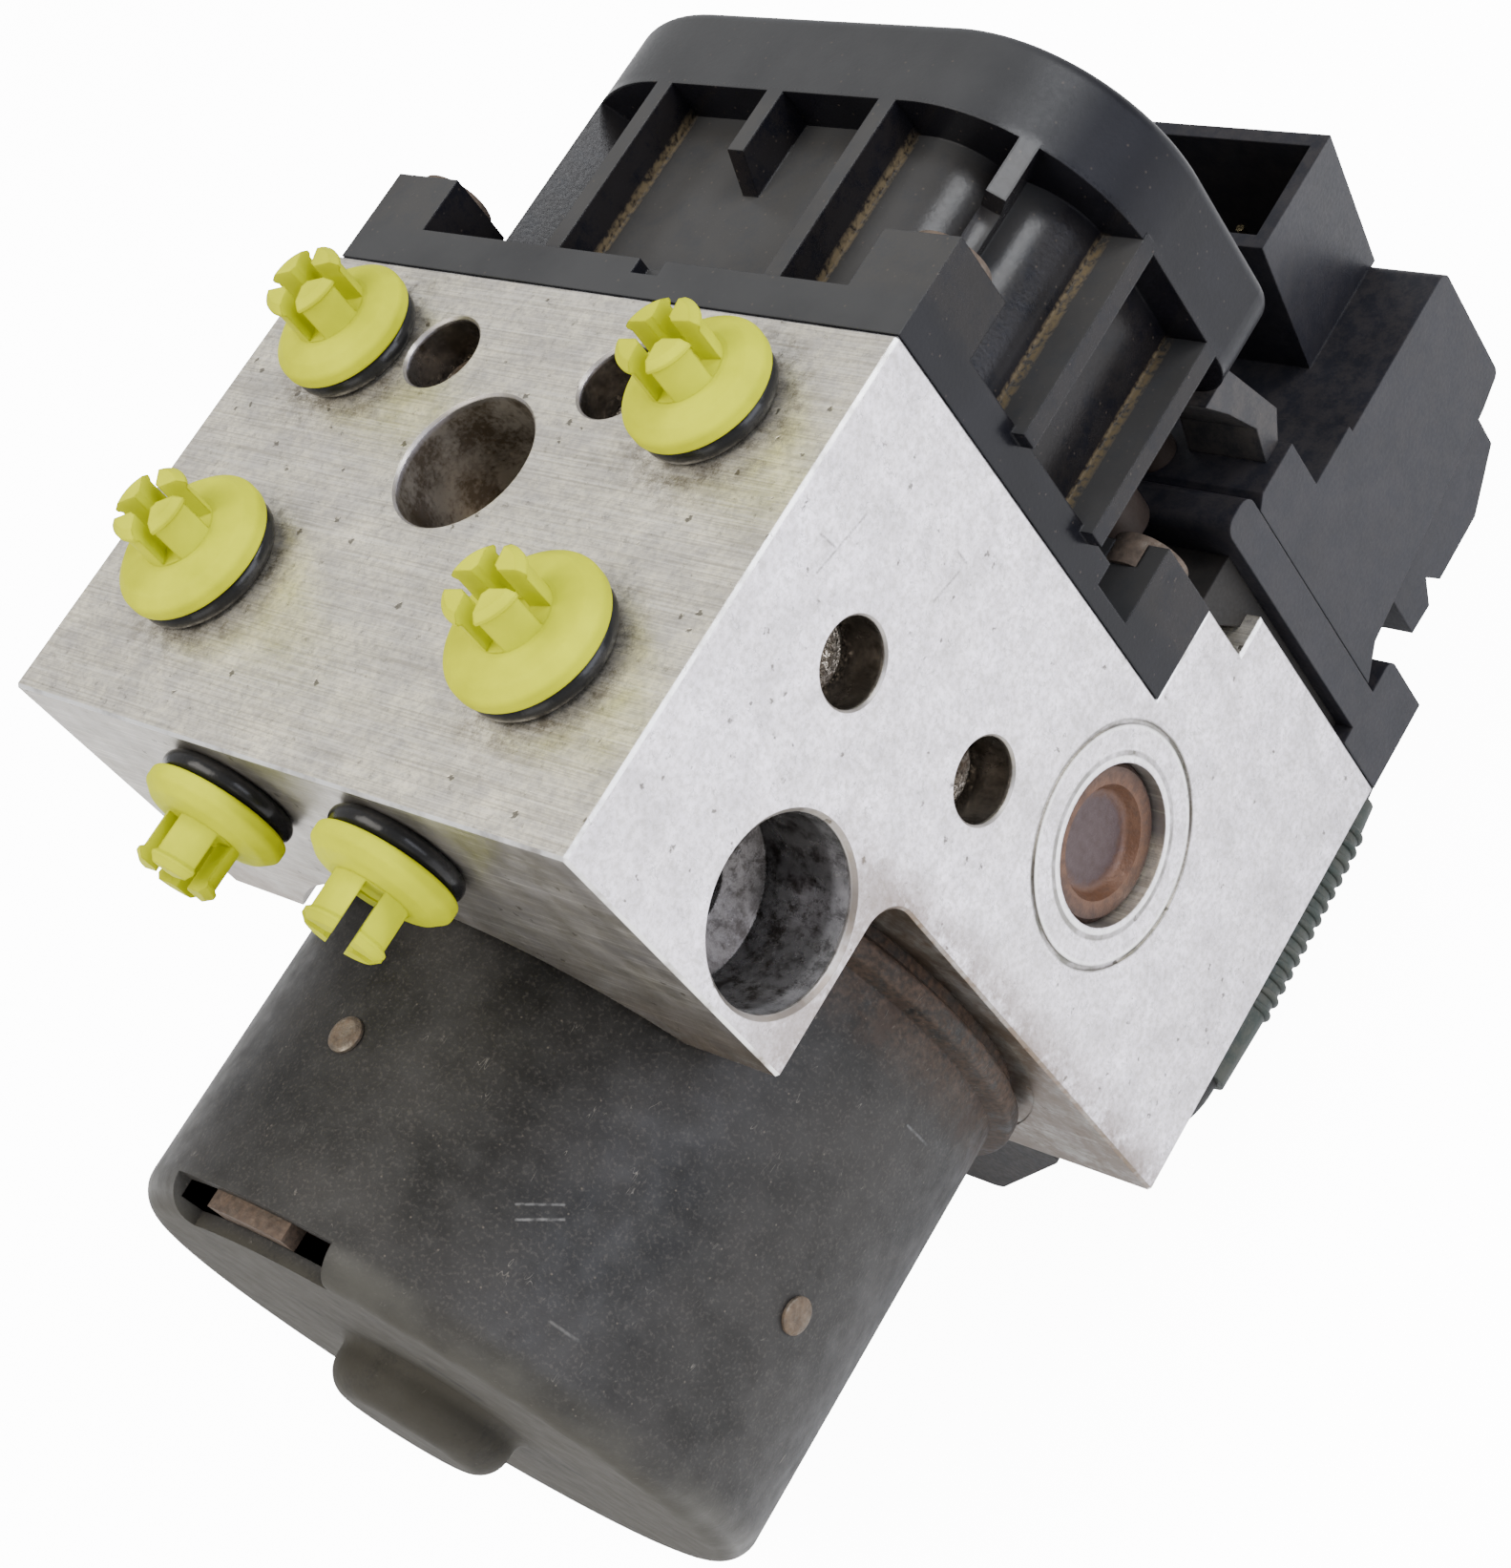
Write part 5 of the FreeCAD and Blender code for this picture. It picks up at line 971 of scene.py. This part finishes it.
def tree_with(title, *sizes):
    """A geometry tree with named sizes and a material as inputs; returns it, its inputs and its end."""
    tree = bpy.data.node_groups.new(title, "GeometryNodeTree")
    tree.interface.new_socket("Geometry", in_out="INPUT", socket_type="NodeSocketGeometry")
    for label in sizes:
        tree.interface.new_socket(label, in_out="INPUT", socket_type=FLOAT)
    tree.interface.new_socket("Material", in_out="INPUT", socket_type="NodeSocketMaterial")
    tree.interface.new_socket("Geometry", in_out="OUTPUT", socket_type="NodeSocketGeometry")
    return tree, tree.nodes.new("NodeGroupInput").outputs, tree.nodes.new("NodeGroupOutput")


def tube(tree, curve, radius, caps=False):
    """A round tube along a curve, with smooth shading."""
    profile = geo(tree, "CurvePrimitiveCircle", {"Resolution": 12, "Radius": radius}).outputs[0]
    skin = geo(tree, "CurveToMesh", {"Curve": curve, "Profile Curve": profile, "Fill Caps": caps}).outputs[0]
    return geo(tree, "SetShadeSmooth", {"Geometry": skin}).outputs[0]


def close_tree(tree, shape, given, end):
    """End a tree in real geometry with its material, which the export can read."""
    real = geo(tree, "RealizeInstances", {"Geometry": shape}).outputs[0]
    done = geo(tree, "SetMaterial", {"Geometry": real, "Material": given["Material"]}).outputs[0]
    tree.links.new(done, end.inputs[0])
    return tree


def grown(name, mesh, tree, **inputs):
    """Run a node tree on a mesh once and keep the result as a plain mesh at the origin."""
    maker = bpy.data.objects.new(name + "_maker", mesh)
    bpy.context.scene.collection.objects.link(maker)
    modifier = maker.modifiers.new("grow", "NODES")
    modifier.node_group = tree
    for label, given in inputs.items():
        modifier[socket_of(tree, label)] = given
    bpy.context.view_layer.update()
    ready = maker.evaluated_get(bpy.context.evaluated_depsgraph_get())
    result = bpy.data.meshes.new_from_object(ready)
    bpy.data.objects.remove(maker)
    piece = bpy.data.objects.new(name, result)
    bpy.context.scene.collection.objects.link(piece)
    return piece


print("geometry helpers ready")

# %% [markdown]
# ## Ribs on the lead's sleeve
# The sleeve is a corrugated tube. The CAD model gives its smooth core, and the ribs repeat every 2.1 mm,
# so rings are placed along the route: the line is resampled to the pitch and hung with thin tori that
# are turned along it.


# %% Sleeve ribs
def ring_tree():
    """Rings along a line: pitch, ring radius and rib thickness are inputs."""
    tree, given, end = tree_with("rings along a line", "Pitch", "Radius", "Thickness")
    curve = geo(tree, "MeshToCurve", {"Mesh": given["Geometry"]}).outputs[0]
    even = geo(tree, "ResampleCurve", {"Curve": curve, "Length": given["Pitch"]}, mode="LENGTH").outputs[0]
    spots = geo(tree, "CurveToPoints", {"Curve": even}, mode="EVALUATED").outputs
    loop = geo(tree, "CurvePrimitiveCircle", {"Resolution": 40, "Radius": given["Radius"]}).outputs[0]
    torus = tube(tree, loop, given["Thickness"])
    hung = geo(tree, "InstanceOnPoints", {"Points": spots["Points"], "Instance": torus,
                                          "Rotation": spots["Rotation"]}).outputs[0]
    return close_tree(tree, hung, given, end)


ribs = grown("sleeve_ribs", line, ring_tree(), Pitch=0.0021, Radius=0.0033, Thickness=0.00055,
             Material=finishes["sleeve_plastic"])
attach(ribs, "modulator")
print("sleeve ribs:", len(ribs.data.polygons), "faces")

# %% [markdown]
# ## Springs drawn again
# Two springs push the pump's pistons and two push the reservoir pistons inside the block. A CAD solid is
# rigid, so a piston that moves would cut through its spring. Each spring is drawn again, with Blender's
# spiral, in the box of the CAD spring, which is hidden.


# %% Springs
def spiral_tree():
    """A coil of round wire along Z, standing on the origin."""
    tree, given, end = tree_with("coil spring", "Turns", "Radius", "Height", "Wire")
    sizes = {"Resolution": 32, "Rotations": given["Turns"], "Height": given["Height"],
             "Start Radius": given["Radius"], "End Radius": given["Radius"]}
    coil = geo(tree, "CurveSpiral", sizes).outputs[0]
    return close_tree(tree, tube(tree, coil, given["Wire"], caps=True), given, end)


coil_spring = spiral_tree()
ALONG_X, ALONG_Z = 0, 2
# Family, joint, axis, turns, wire radius and the piston's stroke in metres
SPRINGS = [
    ("accumulator_spring_", "accumulator_fill_", ALONG_Z, 3.5, 0.0008, 0.0055),
    ("pump_spring_", "pump_stroke_", ALONG_X, 4.0, 0.000495, 0.003),
]
for family, joint, along, turns, wire, travel in SPRINGS:
    for side in ("right", "left"):
        low, high = (Vector(corner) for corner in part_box(family + side))
        length = high[along] - low[along]
        outer = (high[1] - low[1]) / 2
        helix = grown("live_" + family + side, bpy.data.meshes.new("nothing"), coil_spring,
                      Turns=turns, Radius=outer - wire, Height=length - 2 * wire, Wire=wire,
                      Material=finishes["spring_steel"])
        foot = (low + high) / 2
        foot[along] = low[along] + wire
        lay = Matrix.Rotation(math.pi / 2, 4, "Y") if along == ALONG_X else Matrix.Identity(4)
        helix.data.transform(Matrix.Translation(foot) @ lay)
        pull = Vector((0, 0, 0))
        pull[along] = 1
        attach(helix, "modulator")
        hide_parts(family + side)
        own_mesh(helix)
        print(helix.name, "%.1f mm long" % (length * 1000), len(helix.data.polygons), "faces")
